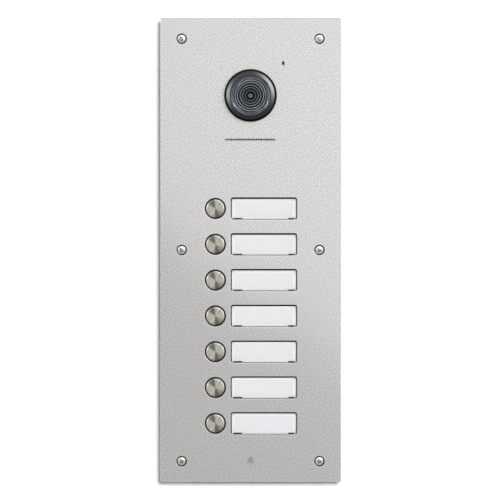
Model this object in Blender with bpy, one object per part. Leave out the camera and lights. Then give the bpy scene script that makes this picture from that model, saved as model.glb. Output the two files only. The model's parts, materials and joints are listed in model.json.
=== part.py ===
"""Flush-mounted door intercom panel with a camera, a loudspeaker and seven call buttons.

Blender 4.5 script: blender --background --python part.py

Frame: metres, +Z up, +X to the visitor's right, +Y into the wall. The origin is the centre of
the back box's rear face. Sizes below are in millimetres and become metres where meshes are made.
Every piece is drawn in its own local frame: x and z from its own centre line, and y as the depth
behind the front plate's outer face, so that a negative depth stands out towards the visitor.
"""

import math

import bmesh
import bpy
from mathutils import Matrix

MM = 0.001
GAP = 0.3  # clearance between pieces that rest on each other

# Front plate and the box behind it
PLATE_W, PLATE_H, PLATE_T = 140.0, 360.0, 2.5
GASKET_T = 1.2
BOX_W, BOX_H, BOX_DEPTH, BOX_WALL = 126.0, 346.0, 50.0, 2.0
LUG_X = 67.5  # how far the plaster lugs on the box's sides reach
FACE_Y = -(BOX_DEPTH + GASKET_T + GAP + PLATE_T)  # outer face of the plate, in the frame
BOX_FRONT = -FACE_Y - BOX_DEPTH + GAP  # depth of the box's open edge
BOX_FLOOR = -FACE_Y - BOX_WALL  # depth of the inside of the box's rear wall

# Fixing screws
SCREW_X, SCREW_Z = 53.5, (164.0, 0.0, -164.0)
SCREW_HEAD_R, SCREW_SEAT_R, SCREW_SEAT_DEPTH = 3.3, 4.15, 1.6
SCREW_R, SCREW_HOLE_R, SCREW_LENGTH = 2.0, 2.35, 19.0
BOSS_R = 5.0

# Call buttons and name windows
ROWS = 7
ROW_PITCH, FIRST_ROW_Z = 27.8, 32.2
BUTTON_X, BUTTON_HOLE_R = -27.3, 8.3
CAP_R, CAP_BEVEL, CAP_PROUD, CAP_BEVEL_DEPTH = 7.1, 1.2, 0.9, 0.6
SLEEVE_BORE, SLEEVE_R, CUP_BORE, CUP_R = 7.4, 8.0, 8.4, 9.8
FLANGE_R, SHOULDER, FLANGE_T = 7.9, 4.8, 1.0
STEM_R, STEM_END, SWITCH_H = 1.75, 8.2, 2.6
WINDOW_X, WINDOW_W, WINDOW_H, WINDOW_R = 10.4, 51.8, 17.4, 2.0
COVER_X, COVER_DROP = WINDOW_X - 0.15, 0.4  # the tray's rim leaves the covers off centre
COVER_W, COVER_H, COVER_R, COVER_FRONT, COVER_BACK = 49.4, 15.5, 1.2, 1.0, 4.4
LABEL_W, LABEL_H, LABEL_T = 46.4, 12.5, 0.4
NOTCHES, NOTCH_H, NOTCH_DEPTH = ((-20.15, 6.9), (21.45, 4.8)), 0.9, 2.6  # centres and widths
RIM_GAP, RIM_FRONT = 0.3, 1.3  # the tray's rim inside each window

# Boards
REST = PLATE_T + GAP  # depth at which pieces lie against the back of the plate
BUTTON_BOARD_DEPTH, BOARD_T = 12.3, 1.6
MAIN_BOARD_DEPTH = 32.0
STUD_R, STUD_HOLE_R, STUD_REACH = 1.5, 1.9, 3.0  # a stud ends this far behind its board
BUTTON_STUD_X, MAIN_STUD_X, MAIN_STUD_Z = (-8.0, 29.0), (-43.0, 43.0), (154.0, 48.0)
STRIP_END = 12.0  # how far the strips and the board reach beyond the end rows
CONNECTOR_H = 6.0  # height of the ribbon's sockets
CUT = 1.0  # how far cutters reach past what they cut

# Camera, speaker and microphone
CAMERA_Z, CAMERA_R, CAMERA_HOLE_R, CAMERA_BOARD_DEPTH = 120.0, 20.4, 17.0, 21.4
SPEAKER_Z, SPEAKER_R = 73.5, 25.5
GRILLE_X, GRILLE_Z, GRILLE_HOLES, GRILLE_PITCH, GRILLE_HOLE_R = -0.35, 85.7, 20, 1.96, 0.72
MIC_X, MIC_Z, MIC_SLOT = 25.4, 145.1, (1.9, 3.3)

# Cable entry through the box's rear wall
ENTRY_Z, ENTRY_R, CABLE_R = -120.0, 10.0, 5.0

COLOURS = {  # name: (colour, metallic, roughness)
    "brushed_steel": ((0.66, 0.65, 0.63), 1.0, 0.38),
    "spun_steel": ((0.62, 0.60, 0.56), 1.0, 0.25),
    "bright_screw": ((0.75, 0.73, 0.68), 1.0, 0.2),
    "spring_wire": ((0.55, 0.55, 0.54), 1.0, 0.3),
    "black_metal": ((0.03, 0.03, 0.035), 0.6, 0.35),
    "black_plastic": ((0.02, 0.02, 0.02), 0.0, 0.5),
    "clear_cover": ((0.9, 0.93, 0.95), 0.0, 0.05),
    "lens_glass": ((0.25, 0.3, 0.35), 0.0, 0.03),
    "paper_label": ((0.86, 0.87, 0.87), 0.0, 0.7),
    "box_plastic": ((0.30, 0.31, 0.32), 0.0, 0.6),
    "foam_rubber": ((0.04, 0.04, 0.04), 0.0, 0.9),
    "circuit_board": ((0.03, 0.18, 0.09), 0.0, 0.4),
    "green_plastic": ((0.05, 0.35, 0.15), 0.0, 0.45),
    "grey_cable": ((0.45, 0.45, 0.46), 0.0, 0.6),
    "magnet": ((0.12, 0.12, 0.13), 0.8, 0.4),
    "speaker_paper": ((0.06, 0.06, 0.06), 0.0, 0.85),
}


# ---------------------------------------------------------------------------- shapes


def clear_scene():
    for obj in list(bpy.data.objects):
        bpy.data.objects.remove(obj, do_unlink=True)


def material(name):
    found = bpy.data.materials.get(name)
    if found:
        return found
    colour, metallic, roughness = COLOURS[name]
    made = bpy.data.materials.new(name)
    made.use_nodes = True
    shader = made.node_tree.nodes["Principled BSDF"]
    shader.inputs["Base Color"].default_value = (*colour, 1.0)
    shader.inputs["Metallic"].default_value = metallic
    shader.inputs["Roughness"].default_value = roughness
    return made


def finished(bm):
    """The bmesh as a mesh in metres, with its normals out."""
    bmesh.ops.recalc_face_normals(bm, faces=bm.faces)
    bmesh.ops.transform(bm, matrix=Matrix.Scale(MM, 4), verts=bm.verts)
    mesh = bpy.data.meshes.new("shape")
    bm.to_mesh(mesh)
    bm.free()
    return mesh


def rounded_rectangle(width, height, radius, x=0.0, z=0.0, steps=3):
    points = []
    for corner, (sx, sz) in enumerate(((1, 1), (-1, 1), (-1, -1), (1, -1))):
        for i in range(steps + 1):
            angle = math.pi / 2 * (corner + i / steps)
            points.append(
                (
                    x + sx * (width / 2 - radius) + radius * math.cos(angle),
                    z + sz * (height / 2 - radius) + radius * math.sin(angle),
                )
            )
    return points


def rectangle(x0, x1, z0, z1):
    return [(x1, z1), (x0, z1), (x0, z0), (x1, z0)]


def add_slab(bm, outline, front, back):
    """Extrudes an outline in x and z from one depth to another."""
    face = bm.faces.new([bm.verts.new((x, front, z)) for x, z in outline])
    made = bmesh.ops.extrude_face_region(bm, geom=[face])
    moved = [v for v in made["geom"] if isinstance(v, bmesh.types.BMVert)]
    bmesh.ops.translate(bm, verts=moved, vec=(0, back - front, 0))


def add_turned(bm, profile, sides, x=0.0, z=0.0):
    """Spins a profile of (radius, depth) about the depth axis. It is a closed ring, or it starts and
    ends on the axis."""
    points = [bm.verts.new((x + r, d, z)) for r, d in profile]
    on_axis = profile[0][0] == 0 and profile[-1][0] == 0
    ends = points if on_axis else [*points, points[0]]
    edges = [bm.edges.new(pair) for pair in zip(ends, ends[1:])]
    before = set(bm.verts) - set(points)
    bmesh.ops.spin(
        bm, geom=[*points, *edges], cent=(x, 0, z), axis=(0, 1, 0),
        angle=2 * math.pi, steps=sides, use_merge=True,
    )
    bmesh.ops.remove_doubles(bm, verts=[v for v in bm.verts if v not in before], dist=1e-4)


def slabs(*pieces):
    """A mesh of extruded outlines, each (outline, front, back)."""
    bm = bmesh.new()
    for outline, front, back in pieces:
        add_slab(bm, outline, front, back)
    return finished(bm)


def turned(profile, sides, centres=((0.0, 0.0),)):
    """A mesh of the same turned shape at each centre."""
    bm = bmesh.new()
    for x, z in centres:
        add_turned(bm, profile, sides, x, z)
    return finished(bm)


def ring(outer, inner, front, back, sides, centres=((0.0, 0.0),)):
    return turned([(inner, front), (outer, front), (outer, back), (inner, back)], sides, centres)


def disc(radius, front, back, sides, centres=((0.0, 0.0),)):
    return turned([(0, front), (radius, front), (radius, back), (0, back)], sides, centres)


def boolean(base, tool, operation):
    """The mesh of base with the tool's bodies cut from it (DIFFERENCE) or joined to it (UNION)."""
    objects = [bpy.data.objects.new("work", mesh) for mesh in (base, tool)]
    for obj in objects:
        bpy.context.scene.collection.objects.link(obj)
    modifier = objects[0].modifiers.new("boolean", "BOOLEAN")
    modifier.solver = "EXACT"
    modifier.operation = operation
    modifier.object = objects[1]
    graph = bpy.context.evaluated_depsgraph_get()
    result = bpy.data.meshes.new_from_object(objects[0].evaluated_get(graph), depsgraph=graph)
    for obj in objects:
        bpy.data.objects.remove(obj)
    return result


def cut(base, *tools):
    for tool in tools:
        base = boolean(base, tool, "DIFFERENCE")
    return base


def join(base, *tools):
    for tool in tools:
        base = boolean(base, tool, "UNION")
    return base


def place(name, mesh, colour, x=0.0, z=0.0):
    """Puts a mesh in the scene as a node, with its origin on its own centre line at the plate's face."""
    obj = bpy.data.objects.new(name, mesh)
    obj.location = (x * MM, FACE_Y * MM, z * MM)
    if not mesh.materials:
        mesh.materials.append(material(colour))
        mesh.shade_smooth()
        mesh.set_sharp_from_angle(angle=math.radians(35))
    bpy.context.scene.collection.objects.link(obj)
    return obj


def tube(name, points, radius, colour, resolution=2, x=0.0, z=0.0):
    """A round cable or wire through points of (x, depth, z)."""
    curve = bpy.data.curves.new(name, "CURVE")
    curve.dimensions = "3D"
    curve.bevel_depth = radius * MM
    curve.bevel_resolution = resolution
    curve.use_fill_caps = True
    spline = curve.splines.new("POLY")
    spline.points.add(len(points) - 1)
    for point, co in zip(spline.points, points):
        point.co = (*(c * MM for c in co), 1.0)
    curve.materials.append(material(colour))
    obj = bpy.data.objects.new(name, curve)
    obj.location = (x * MM, FACE_Y * MM, z * MM)
    bpy.context.scene.collection.objects.link(obj)
    return obj


def smooth_path(points, steps):
    """Points on a Catmull-Rom curve through the given ones."""
    padded = [points[0], *points, points[-1]]
    path = []
    for a, b, c, d in zip(padded, padded[1:], padded[2:], padded[3:]):
        for i in range(steps):
            t = i / steps
            path.append(
                tuple(
                    0.5 * (2 * q + (r - p) * t + (2 * p - 5 * q + 4 * r - s) * t**2
                           + (3 * q - p - 3 * r + s) * t**3)
                    for p, q, r, s in zip(a, b, c, d)
                )
            )
    return [*path, points[-1]]


# ---------------------------------------------------------------------------- layout


def row_heights():
    return [FIRST_ROW_Z - ROW_PITCH * i for i in range(ROWS)]


def screw_places():
    return [(side * SCREW_X, z) for z in SCREW_Z for side in (-1, 1)]


def button_stud_places():
    between = row_heights()[0] - ROW_PITCH / 2, row_heights()[-1] + ROW_PITCH / 2
    return [(x, z) for z in between for x in BUTTON_STUD_X]


def main_stud_places():
    return [(x, z) for z in MAIN_STUD_Z for x in MAIN_STUD_X]


def strip_ends():
    """The lowest and highest z of the strips and the board behind the rows."""
    return row_heights()[-1] - STRIP_END, row_heights()[0] + STRIP_END


# ---------------------------------------------------------------------------- casing


def front_plate():
    """Steel plate with every opening in it and the studs welded to its back."""
    through, beyond = -CUT, PLATE_T + CUT
    first = GRILLE_X - GRILLE_PITCH * (GRILLE_HOLES - 1) / 2
    grille = [(first + GRILLE_PITCH * i, GRILLE_Z) for i in range(GRILLE_HOLES)]
    windows = [
        (rounded_rectangle(WINDOW_W, WINDOW_H, WINDOW_R, WINDOW_X, z, 2), through, beyond)
        for z in row_heights()
    ]
    mic = rounded_rectangle(*MIC_SLOT, MIC_SLOT[0] / 2, MIC_X, MIC_Z)
    seat = [
        (0, through),
        (SCREW_SEAT_R, through),
        (SCREW_SEAT_R, SCREW_SEAT_DEPTH),
        (SCREW_HOLE_R, SCREW_SEAT_DEPTH),
        (SCREW_HOLE_R, beyond),
        (0, beyond),
    ]
    plate = cut(
        slabs((rounded_rectangle(PLATE_W, PLATE_H, 1.0, steps=2), 0.0, PLATE_T)),
        slabs(*windows, (mic, through, beyond)),
        turned(seat, 12, screw_places()),
        disc(BUTTON_HOLE_R, through, beyond, 20, [(BUTTON_X, z) for z in row_heights()]),
        disc(GRILLE_HOLE_R, through, beyond, 6, grille),
        disc(CAMERA_HOLE_R, through, beyond, 28, [(0.0, CAMERA_Z)]),
    )
    root = PLATE_T - 1.0
    plate = join(
        plate,
        disc(STUD_R, root, BUTTON_BOARD_DEPTH + BOARD_T + STUD_REACH, 8, button_stud_places()),
        disc(STUD_R, root, MAIN_BOARD_DEPTH + BOARD_T + STUD_REACH, 8, main_stud_places()),
    )
    place("front_plate", plate, "brushed_steel")


def plate_gasket():
    """Foam frame between the plate's rim and the wall, around the box's front edge."""
    front, back = REST, REST + GASKET_T
    frame = cut(
        slabs((rounded_rectangle(PLATE_W - 2.0, PLATE_H - 2.0, 1.0, steps=2), front, back)),
        slabs((rounded_rectangle(BOX_W + 1.0, BOX_H + 1.0, 5.5, steps=2), front - CUT, back + CUT)),
    )
    place("plate_gasket", frame, "foam_rubber")


def back_box():
    """Wall box, open to the front, with screw bosses, plaster lugs and a cable entry in its rear wall."""
    rear = -FACE_Y
    inner = rounded_rectangle(BOX_W - 2 * BOX_WALL, BOX_H - 2 * BOX_WALL, 3.0)
    shell = cut(
        slabs((rounded_rectangle(BOX_W, BOX_H, 5.0), BOX_FRONT, rear)),
        slabs((inner, BOX_FRONT - CUT, BOX_FLOOR)),
    )
    bosses = disc(BOSS_R, BOX_FRONT, BOX_FLOOR + 1.0, 14, screw_places())
    wall_x = BOX_W / 2 - BOX_WALL / 2
    webs = slabs(
        *(
            (rectangle(*sorted((x, math.copysign(wall_x, x))), z - 1.5, z + 1.5), BOX_FRONT, BOX_FLOOR + 0.5)
            for x, z in screw_places()
        )
    )
    lugs = slabs(
        *(
            (rectangle(*sorted((side * (BOX_W / 2 - 1.0), side * LUG_X)), z - 9.0, z + 9.0), 17.0, 20.0)
            for side in (-1, 1)
            for z in (-100.0, 100.0)
        )
    )
    shell = join(shell, bosses, webs, lugs)
    pilot = disc(SCREW_HOLE_R, BOX_FRONT - CUT, SCREW_LENGTH + 3.0, 12, screw_places())
    entry = disc(ENTRY_R, BOX_FLOOR - CUT, rear + CUT, 20, [(0.0, ENTRY_Z)])
    place("back_box", cut(shell, pilot, entry), "box_plastic")


def cable_grommet():
    """Rubber bush with a groove that grips the rear wall around the cable entry."""
    floor = BOX_FLOOR - GAP
    profile = [
        (CABLE_R, floor - 3.0),
        (ENTRY_R + 2.0, floor - 1.5),
        (ENTRY_R + 2.0, floor),
        (ENTRY_R - GAP, floor),
        (ENTRY_R - GAP, -FACE_Y - GAP),
        (CABLE_R, -FACE_Y - GAP),
    ]
    place("cable_grommet", turned(profile, 20), "foam_rubber", 0.0, ENTRY_Z)


def fixing_screws():
    """Low domed screws with a six-lobed recess around a centre pin."""
    head = [
        (0, -0.75),
        (1.9, -0.65),
        (2.8, -0.3),
        (SCREW_HEAD_R, 0.4),
        (SCREW_HEAD_R, SCREW_SEAT_DEPTH - GAP),
        (SCREW_R, SCREW_SEAT_DEPTH - GAP),
        (SCREW_R, SCREW_LENGTH - 1.2),
        (0, SCREW_LENGTH),
    ]
    lobes = 12
    star = [
        (r * math.cos(2 * math.pi * i / lobes), r * math.sin(2 * math.pi * i / lobes))
        for i, r in enumerate([1.65, 1.2] * (lobes // 2))
    ]
    recessed = cut(turned(head, 14), slabs((star, -2.0, 0.9)))
    screw = join(recessed, disc(0.5, -0.4, 1.1, 6))
    for number, (x, z) in enumerate(screw_places(), 1):
        place(f"fixing_screw_{number}", screw, "bright_screw", x, z)


# ---------------------------------------------------------------------------- call buttons


def button_caps():
    """Spun steel caps. Each one's flange stops behind the sleeve and its stem works a switch."""
    profile = [
        (0, -CAP_PROUD),
        (CAP_R - CAP_BEVEL, -CAP_PROUD),
        (CAP_R, -CAP_PROUD + CAP_BEVEL_DEPTH),
        (CAP_R, SHOULDER + GAP),
        (FLANGE_R, SHOULDER + GAP),
        (FLANGE_R, SHOULDER + GAP + FLANGE_T),
        (STEM_R, SHOULDER + GAP + FLANGE_T),
        (STEM_R, STEM_END),
        (0, STEM_END),
    ]
    cap = turned(profile, 18)
    for number, z in enumerate(row_heights(), 1):
        place(f"button_cap_{number}", cap, "spun_steel", BUTTON_X, z)


def button_springs():
    """Return springs between each cap's flange and the board."""
    wire, mean_radius, turns, per_turn = 0.4, 6.3, 2.5, 8
    start = SHOULDER + GAP + FLANGE_T + GAP + wire
    end = BUTTON_BOARD_DEPTH - GAP - wire
    count = round(turns * per_turn)
    path = []
    for i in range(count + 1):
        angle = 2 * math.pi * i / per_turn
        depth = start + (end - start) * i / count
        path.append((mean_radius * math.cos(angle), depth, mean_radius * math.sin(angle)))
    for number, z in enumerate(row_heights(), 1):
        tube(f"button_spring_{number}", path, wire, "spring_wire", 0, BUTTON_X, z)


def button_carrier():
    """Plastic strip with a sleeve through the plate and a cup behind it for each button."""
    places = [(BUTTON_X, z) for z in row_heights()]
    low, high = strip_ends()
    strip = cut(
        slabs((rectangle(BUTTON_X - 10.3, BUTTON_X + 10.3, low, high), REST, SHOULDER)),
        disc(CUP_R - 0.8, 0.0, SHOULDER + CUT, 14, places),
    )
    profile = [
        (SLEEVE_BORE, 0.5),
        (SLEEVE_R, 0.5),
        (SLEEVE_R, REST + 0.6),
        (CUP_R, REST + 0.6),
        (CUP_R, BUTTON_BOARD_DEPTH - GAP),
        (CUP_BORE, BUTTON_BOARD_DEPTH - GAP),
        (CUP_BORE, SHOULDER),
        (SLEEVE_BORE, SHOULDER),
    ]
    place("button_carrier", join(strip, turned(profile, 14, places)), "black_plastic")


def button_board():
    """Board behind the buttons and names, with a switch for each button and lamps for each name."""
    low, high = strip_ends()
    front, back = BUTTON_BOARD_DEPTH, BUTTON_BOARD_DEPTH + BOARD_T
    board = cut(
        slabs((rectangle(-38.5, 41.0, low, high), front, back)),
        disc(STUD_HOLE_R, front - CUT, back + CUT, 8, button_stud_places()),
    )
    parts = []
    for z in row_heights():
        parts.append((rectangle(BUTTON_X - 3.0, BUTTON_X + 3.0, z - 3.0, z + 3.0), front - 1.9, front + 0.5))
        for x in (WINDOW_X - 13.0, WINDOW_X + 13.0):
            parts.append((rectangle(x - 1.8, x + 1.8, z - 1.4, z + 1.4), front - 1.2, front + 0.5))
    connector = (rectangle(-10.0, 10.0, 30.0, 36.0), back - 0.5, back + CONNECTOR_H)
    plungers = disc(1.6, front - SWITCH_H, front - 1.0, 8, [(BUTTON_X, z) for z in row_heights()])
    place("button_board", join(board, slabs(*parts, connector), plungers), "circuit_board")


# ---------------------------------------------------------------------------- name windows


def label_tray():
    """Dark tray with a rim and a pocket for each name cover and a light well behind each pocket."""
    low, high = strip_ends()
    left, right = BUTTON_X + 10.9, WINDOW_X + WINDOW_W / 2 + 4.0
    back = BUTTON_BOARD_DEPTH - GAP
    block = slabs((rectangle(left, right, low, high), REST, back))
    rims, pockets, edges, wells = [], [], [], []
    half, strip = COVER_W / 2 + GAP, (WINDOW_H - COVER_H) / 2
    for z in row_heights():
        middle, bottom = z - COVER_DROP, z - WINDOW_H / 2 - RIM_GAP
        rim = rounded_rectangle(
            WINDOW_W - 2 * RIM_GAP, WINDOW_H - 2 * RIM_GAP, WINDOW_R - RIM_GAP, WINDOW_X, z, 2
        )
        rims.append((rim, RIM_FRONT, REST + 1.0))
        pocket = rounded_rectangle(COVER_W + 2 * GAP, COVER_H + 2 * GAP, COVER_R, COVER_X, middle, 2)
        pockets.append((pocket, 0.0, COVER_BACK + GAP))
        edge = rectangle(COVER_X - half, COVER_X + half, bottom, bottom + strip)
        edges.append((edge, 0.0, REST + 0.2))
        well = rounded_rectangle(44.0, 11.0, 1.0, COVER_X, middle, 1)
        wells.append((well, COVER_BACK, back + CUT))
    studs = disc(STUD_HOLE_R, 0.0, back + CUT, 8, button_stud_places())
    tray = cut(join(block, slabs(*rims)), slabs(*pockets), slabs(*edges), slabs(*wells), studs)
    place("label_tray", tray, "black_plastic")


def name_covers():
    """Clear snap-in covers with two tool notches, and the paper label each one holds behind it."""
    label_front = COVER_BACK - LABEL_T - GAP
    pocket = rounded_rectangle(LABEL_W + 2 * GAP, LABEL_H + 2 * GAP, 0.5, steps=1)
    tools = [(pocket, label_front - GAP, COVER_BACK + CUT)]
    bottom = -COVER_H / 2
    for centre, notch in NOTCHES:
        low_x, high_x = centre - notch / 2, centre + notch / 2
        tools.append((rectangle(low_x, high_x, bottom - CUT, bottom + NOTCH_H), 0.0, NOTCH_DEPTH))
    outline = rounded_rectangle(COVER_W, COVER_H, COVER_R, steps=2)
    cover = cut(slabs((outline, COVER_FRONT, COVER_BACK)), slabs(*tools))
    paper = rectangle(-LABEL_W / 2, LABEL_W / 2, -LABEL_H / 2, LABEL_H / 2)
    label = slabs((paper, label_front, COVER_BACK - GAP))
    for number, z in enumerate(row_heights(), 1):
        place(f"name_cover_{number}", cover, "clear_cover", COVER_X, z - COVER_DROP)
        place(f"name_label_{number}", label, "paper_label", COVER_X, z - COVER_DROP)


# ---------------------------------------------------------------------------- camera


def camera():
    """Camera unit: bezel and nut clamp the plate, and the can behind holds lens, board and sensor."""
    sides = 26
    pieces = {
        "camera_bezel": (
            [
                (CAMERA_R, -GAP),
                (CAMERA_R, -1.4),
                (CAMERA_R - 1.1, -2.9),
                (15.8, -4.3),
                (15.0, -4.3),
                (13.8, -3.2),
                (13.8, -1.6),
                (13.2, -1.6),
                (13.2, 9.0),
                (16.6, 9.0),
                (16.6, -GAP),
            ],
            "black_metal",
        ),
        "camera_window": (
            [(0, -4.1), (8.0, -3.95), (12.4, -3.6), (13.4, -2.9), (13.4, -1.9), (0, -1.9)],
            "lens_glass",
        ),
        "camera_baffle": (
            [
                (12.8, -1.4),
                (10.4, -1.2),
                (10.2, 0.6),
                (8.3, 1.0),
                (8.1, 2.6),
                (6.2, 3.0),
                (6.0, 4.4),
                (3.8, 4.8),
                (3.8, 6.2),
                (12.8, 6.2),
            ],
            "black_plastic",
        ),
        "camera_nut": (
            [(16.9, REST), (20.0, REST), (20.0, REST + 3.5), (16.9, REST + 3.5)],
            "black_metal",
        ),
        "camera_can": (
            [
                (13.6, 9.3),
                (18.0, 9.3),
                (18.0, 27.0),
                (4.0, 27.0),
                (4.0, 25.5),
                (16.5, 25.5),
                (16.5, 10.8),
                (13.6, 10.8),
            ],
            "black_plastic",
        ),
        "camera_barrel": (
            [
                (1.9, 5.2),
                (3.4, 5.2),
                (3.4, 7.0),
                (7.0, 7.0),
                (7.0, CAMERA_BOARD_DEPTH - GAP),
                (5.9, CAMERA_BOARD_DEPTH - GAP),
                (5.9, 9.0),
                (1.9, 9.0),
            ],
            "black_metal",
        ),
        "camera_lens": ([(0, 5.5), (1.0, 5.7), (1.6, 6.3), (1.6, 8.4), (0, 8.7)], "lens_glass"),
    }
    for name, (profile, colour) in pieces.items():
        count = sides if profile[0][0] > 5 or profile[2][0] > 5 else 16
        place(name, turned(profile, count), colour, 0.0, CAMERA_Z)
    board = join(
        disc(15.8, CAMERA_BOARD_DEPTH, CAMERA_BOARD_DEPTH + BOARD_T, 20),
        slabs((rectangle(-6.0, 6.0, -12.0, -7.0), CAMERA_BOARD_DEPTH + 0.5, CAMERA_BOARD_DEPTH + 3.6)),
    )
    place("camera_board", board, "circuit_board", 0.0, CAMERA_Z)
    sensor_back = CAMERA_BOARD_DEPTH - GAP
    sensor = slabs((rectangle(-4.0, 4.0, -4.0, 4.0), sensor_back - 1.9, sensor_back))
    place("image_sensor", sensor, "black_plastic", 0.0, CAMERA_Z)


# ---------------------------------------------------------------------------- sound


def speaker():
    sides = 24
    flange = REST + 2.0 + GAP
    place("speaker_gasket", ring(SPEAKER_R, 22.6, REST, REST + 2.0, sides), "foam_rubber", 0.0, SPEAKER_Z)
    basket = [
        (22.6, flange),
        (SPEAKER_R, flange),
        (SPEAKER_R, flange + 1.5),
        (23.6, flange + 1.5),
        (13.0, flange + 9.5),
        (13.0, flange + 11.0),
        (5.0, flange + 11.0),
        (5.0, flange + 9.8),
        (12.2, flange + 9.3),
        (22.6, flange + 1.2),
    ]
    place("speaker_basket", turned(basket, sides), "black_metal", 0.0, SPEAKER_Z)
    cone = [
        (0, flange + 5.0),
        (5.5, flange + 6.6),
        (21.6, flange - 0.4),
        (21.6, flange + 0.2),
        (6.0, flange + 7.6),
        (4.4, flange + 7.2),
        (4.4, flange + 10.4),
        (3.8, flange + 10.4),
        (3.8, flange + 7.0),
        (0, flange + 5.8),
    ]
    place("speaker_cone", turned(cone, sides), "speaker_paper", 0.0, SPEAKER_Z)
    magnet = disc(12.0, flange + 11.0 + GAP, flange + 18.0, 24)
    place("speaker_magnet", magnet, "magnet", 0.0, SPEAKER_Z)


def microphone():
    boot = [
        (1.2, REST),
        (5.0, REST),
        (5.5, REST + 1.0),
        (5.5, REST + 7.0),
        (3.3, REST + 7.0),
        (3.3, REST + 1.2),
        (1.2, REST + 1.2),
    ]
    place("microphone_boot", turned(boot, 20), "foam_rubber", MIC_X, MIC_Z)
    capsule = disc(3.0, REST + 1.2 + GAP, REST + 6.4, 16)
    place("microphone_capsule", capsule, "brushed_steel", MIC_X, MIC_Z)


# ---------------------------------------------------------------------------- electronics


def main_board():
    """Processor board on the long studs, with its chips, coil and relay facing the wall."""
    front, back = MAIN_BOARD_DEPTH, MAIN_BOARD_DEPTH + BOARD_T
    board = cut(
        slabs((rounded_rectangle(96.0, 116.0, 2.0, 0.0, 101.0, 2), front, back)),
        disc(STUD_HOLE_R, front - CUT, back + CUT, 8, main_stud_places()),
    )
    chips = slabs(
        (rectangle(-14.0, 6.0, 96.0, 116.0), back - 0.4, back + 2.2),
        (rectangle(16.0, 30.0, 120.0, 132.0), back - 0.4, back + 1.8),
        (rectangle(-38.0, -18.0, 128.0, 143.0), back - 0.4, back + 9.0),
        (rectangle(16.0, 38.0, 92.0, 106.0), back - 0.4, back + 3.0),
        (rectangle(-10.0, 10.0, 50.0, 56.0), back - 0.4, back + CONNECTOR_H),
    )
    cans = disc(4.5, back - 0.4, back + 10.0, 14, [(-30.0, 92.0), (-30.0, 106.0), (10.0, 140.0)])
    place("main_board", join(board, chips, cans), "circuit_board")


def terminal_block():
    """Row of cable terminals on the main board, reached once the panel is off the wall."""
    front = MAIN_BOARD_DEPTH + BOARD_T + GAP
    length, height, ways = 40.0, 9.0, 8
    block = slabs((rectangle(-length / 2, length / 2, -height / 2, height / 2), front, front + 10.0))
    pitch = length / ways
    centres = [(-length / 2 + pitch * (i + 0.5), 0.0) for i in range(ways)]
    wells = disc(1.7, front + 8.0, front + 11.0, 6, centres)
    entries = slabs(
        *(
            (rectangle(x - 1.5, x + 1.5, -height / 2 - 1.0, -height / 2 + 3.0), front + 2.0, front + 5.0)
            for x, _ in centres
        )
    )
    place("terminal_block", cut(block, wells, entries), "green_plastic", 0.0, 70.0)


def ribbon_cable():
    """Flat cable from the button board up to the main board, in a curve between their connectors."""
    back = BUTTON_BOARD_DEPTH + BOARD_T + CONNECTOR_H + GAP
    top = MAIN_BOARD_DEPTH + BOARD_T + CONNECTOR_H + GAP
    route = smooth_path(
        [(back + 0.5, 33.0), (back + 8.0, 31.0), (top + 5.0, 34.0), (top + 6.0, 46.0), (top + 0.5, 53.0)], 4
    )
    half_width, half_thickness = 8.0, 0.5
    bm = bmesh.new()
    rows = []
    for i, (depth, z) in enumerate(route):
        before, after = route[max(i - 1, 0)], route[min(i + 1, len(route) - 1)]
        along = (after[0] - before[0], after[1] - before[1])
        length = math.hypot(*along)
        side = (-along[1] / length * half_thickness, along[0] / length * half_thickness)
        rows.append(
            [
                bm.verts.new((sx * half_width, depth + sign * side[0], z + sign * side[1]))
                for sx, sign in ((-1, -1), (1, -1), (1, 1), (-1, 1))
            ]
        )
    for a, b in zip(rows, rows[1:]):
        for i in range(4):
            bm.faces.new((a[i], a[(i + 1) % 4], b[(i + 1) % 4], b[i]))
    bm.faces.new(rows[0])
    bm.faces.new(rows[-1])
    place("ribbon_cable", finished(bm), "grey_cable")


def camera_cable():
    """Round lead from the camera's can to a socket on the main board."""
    can_back = 27.0
    lie = MAIN_BOARD_DEPTH - 1.6
    route = [
        (0.0, can_back + GAP, 120.0),
        (0.0, can_back + 2.0, 120.0),
        (1.5, lie, 116.0),
        (12.0, lie, 110.0),
        (24.0, lie, 112.0),
    ]
    tube("camera_cable", smooth_path(route, 4), 1.2, "black_plastic")


def main():
    clear_scene()
    front_plate()
    plate_gasket()
    back_box()
    cable_grommet()
    fixing_screws()
    button_caps()
    button_springs()
    button_carrier()
    button_board()
    label_tray()
    name_covers()
    camera()
    speaker()
    microphone()
    main_board()
    terminal_block()
    ribbon_cable()
    camera_cable()


main()
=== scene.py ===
"""The looks of a flush-mounted door intercom panel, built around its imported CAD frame.

Sizes are in millimetres and become metres in finished(). A depth is measured from the front plate's
outer face towards the wall, so a negative depth stands out towards the visitor.
"""

import math

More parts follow.
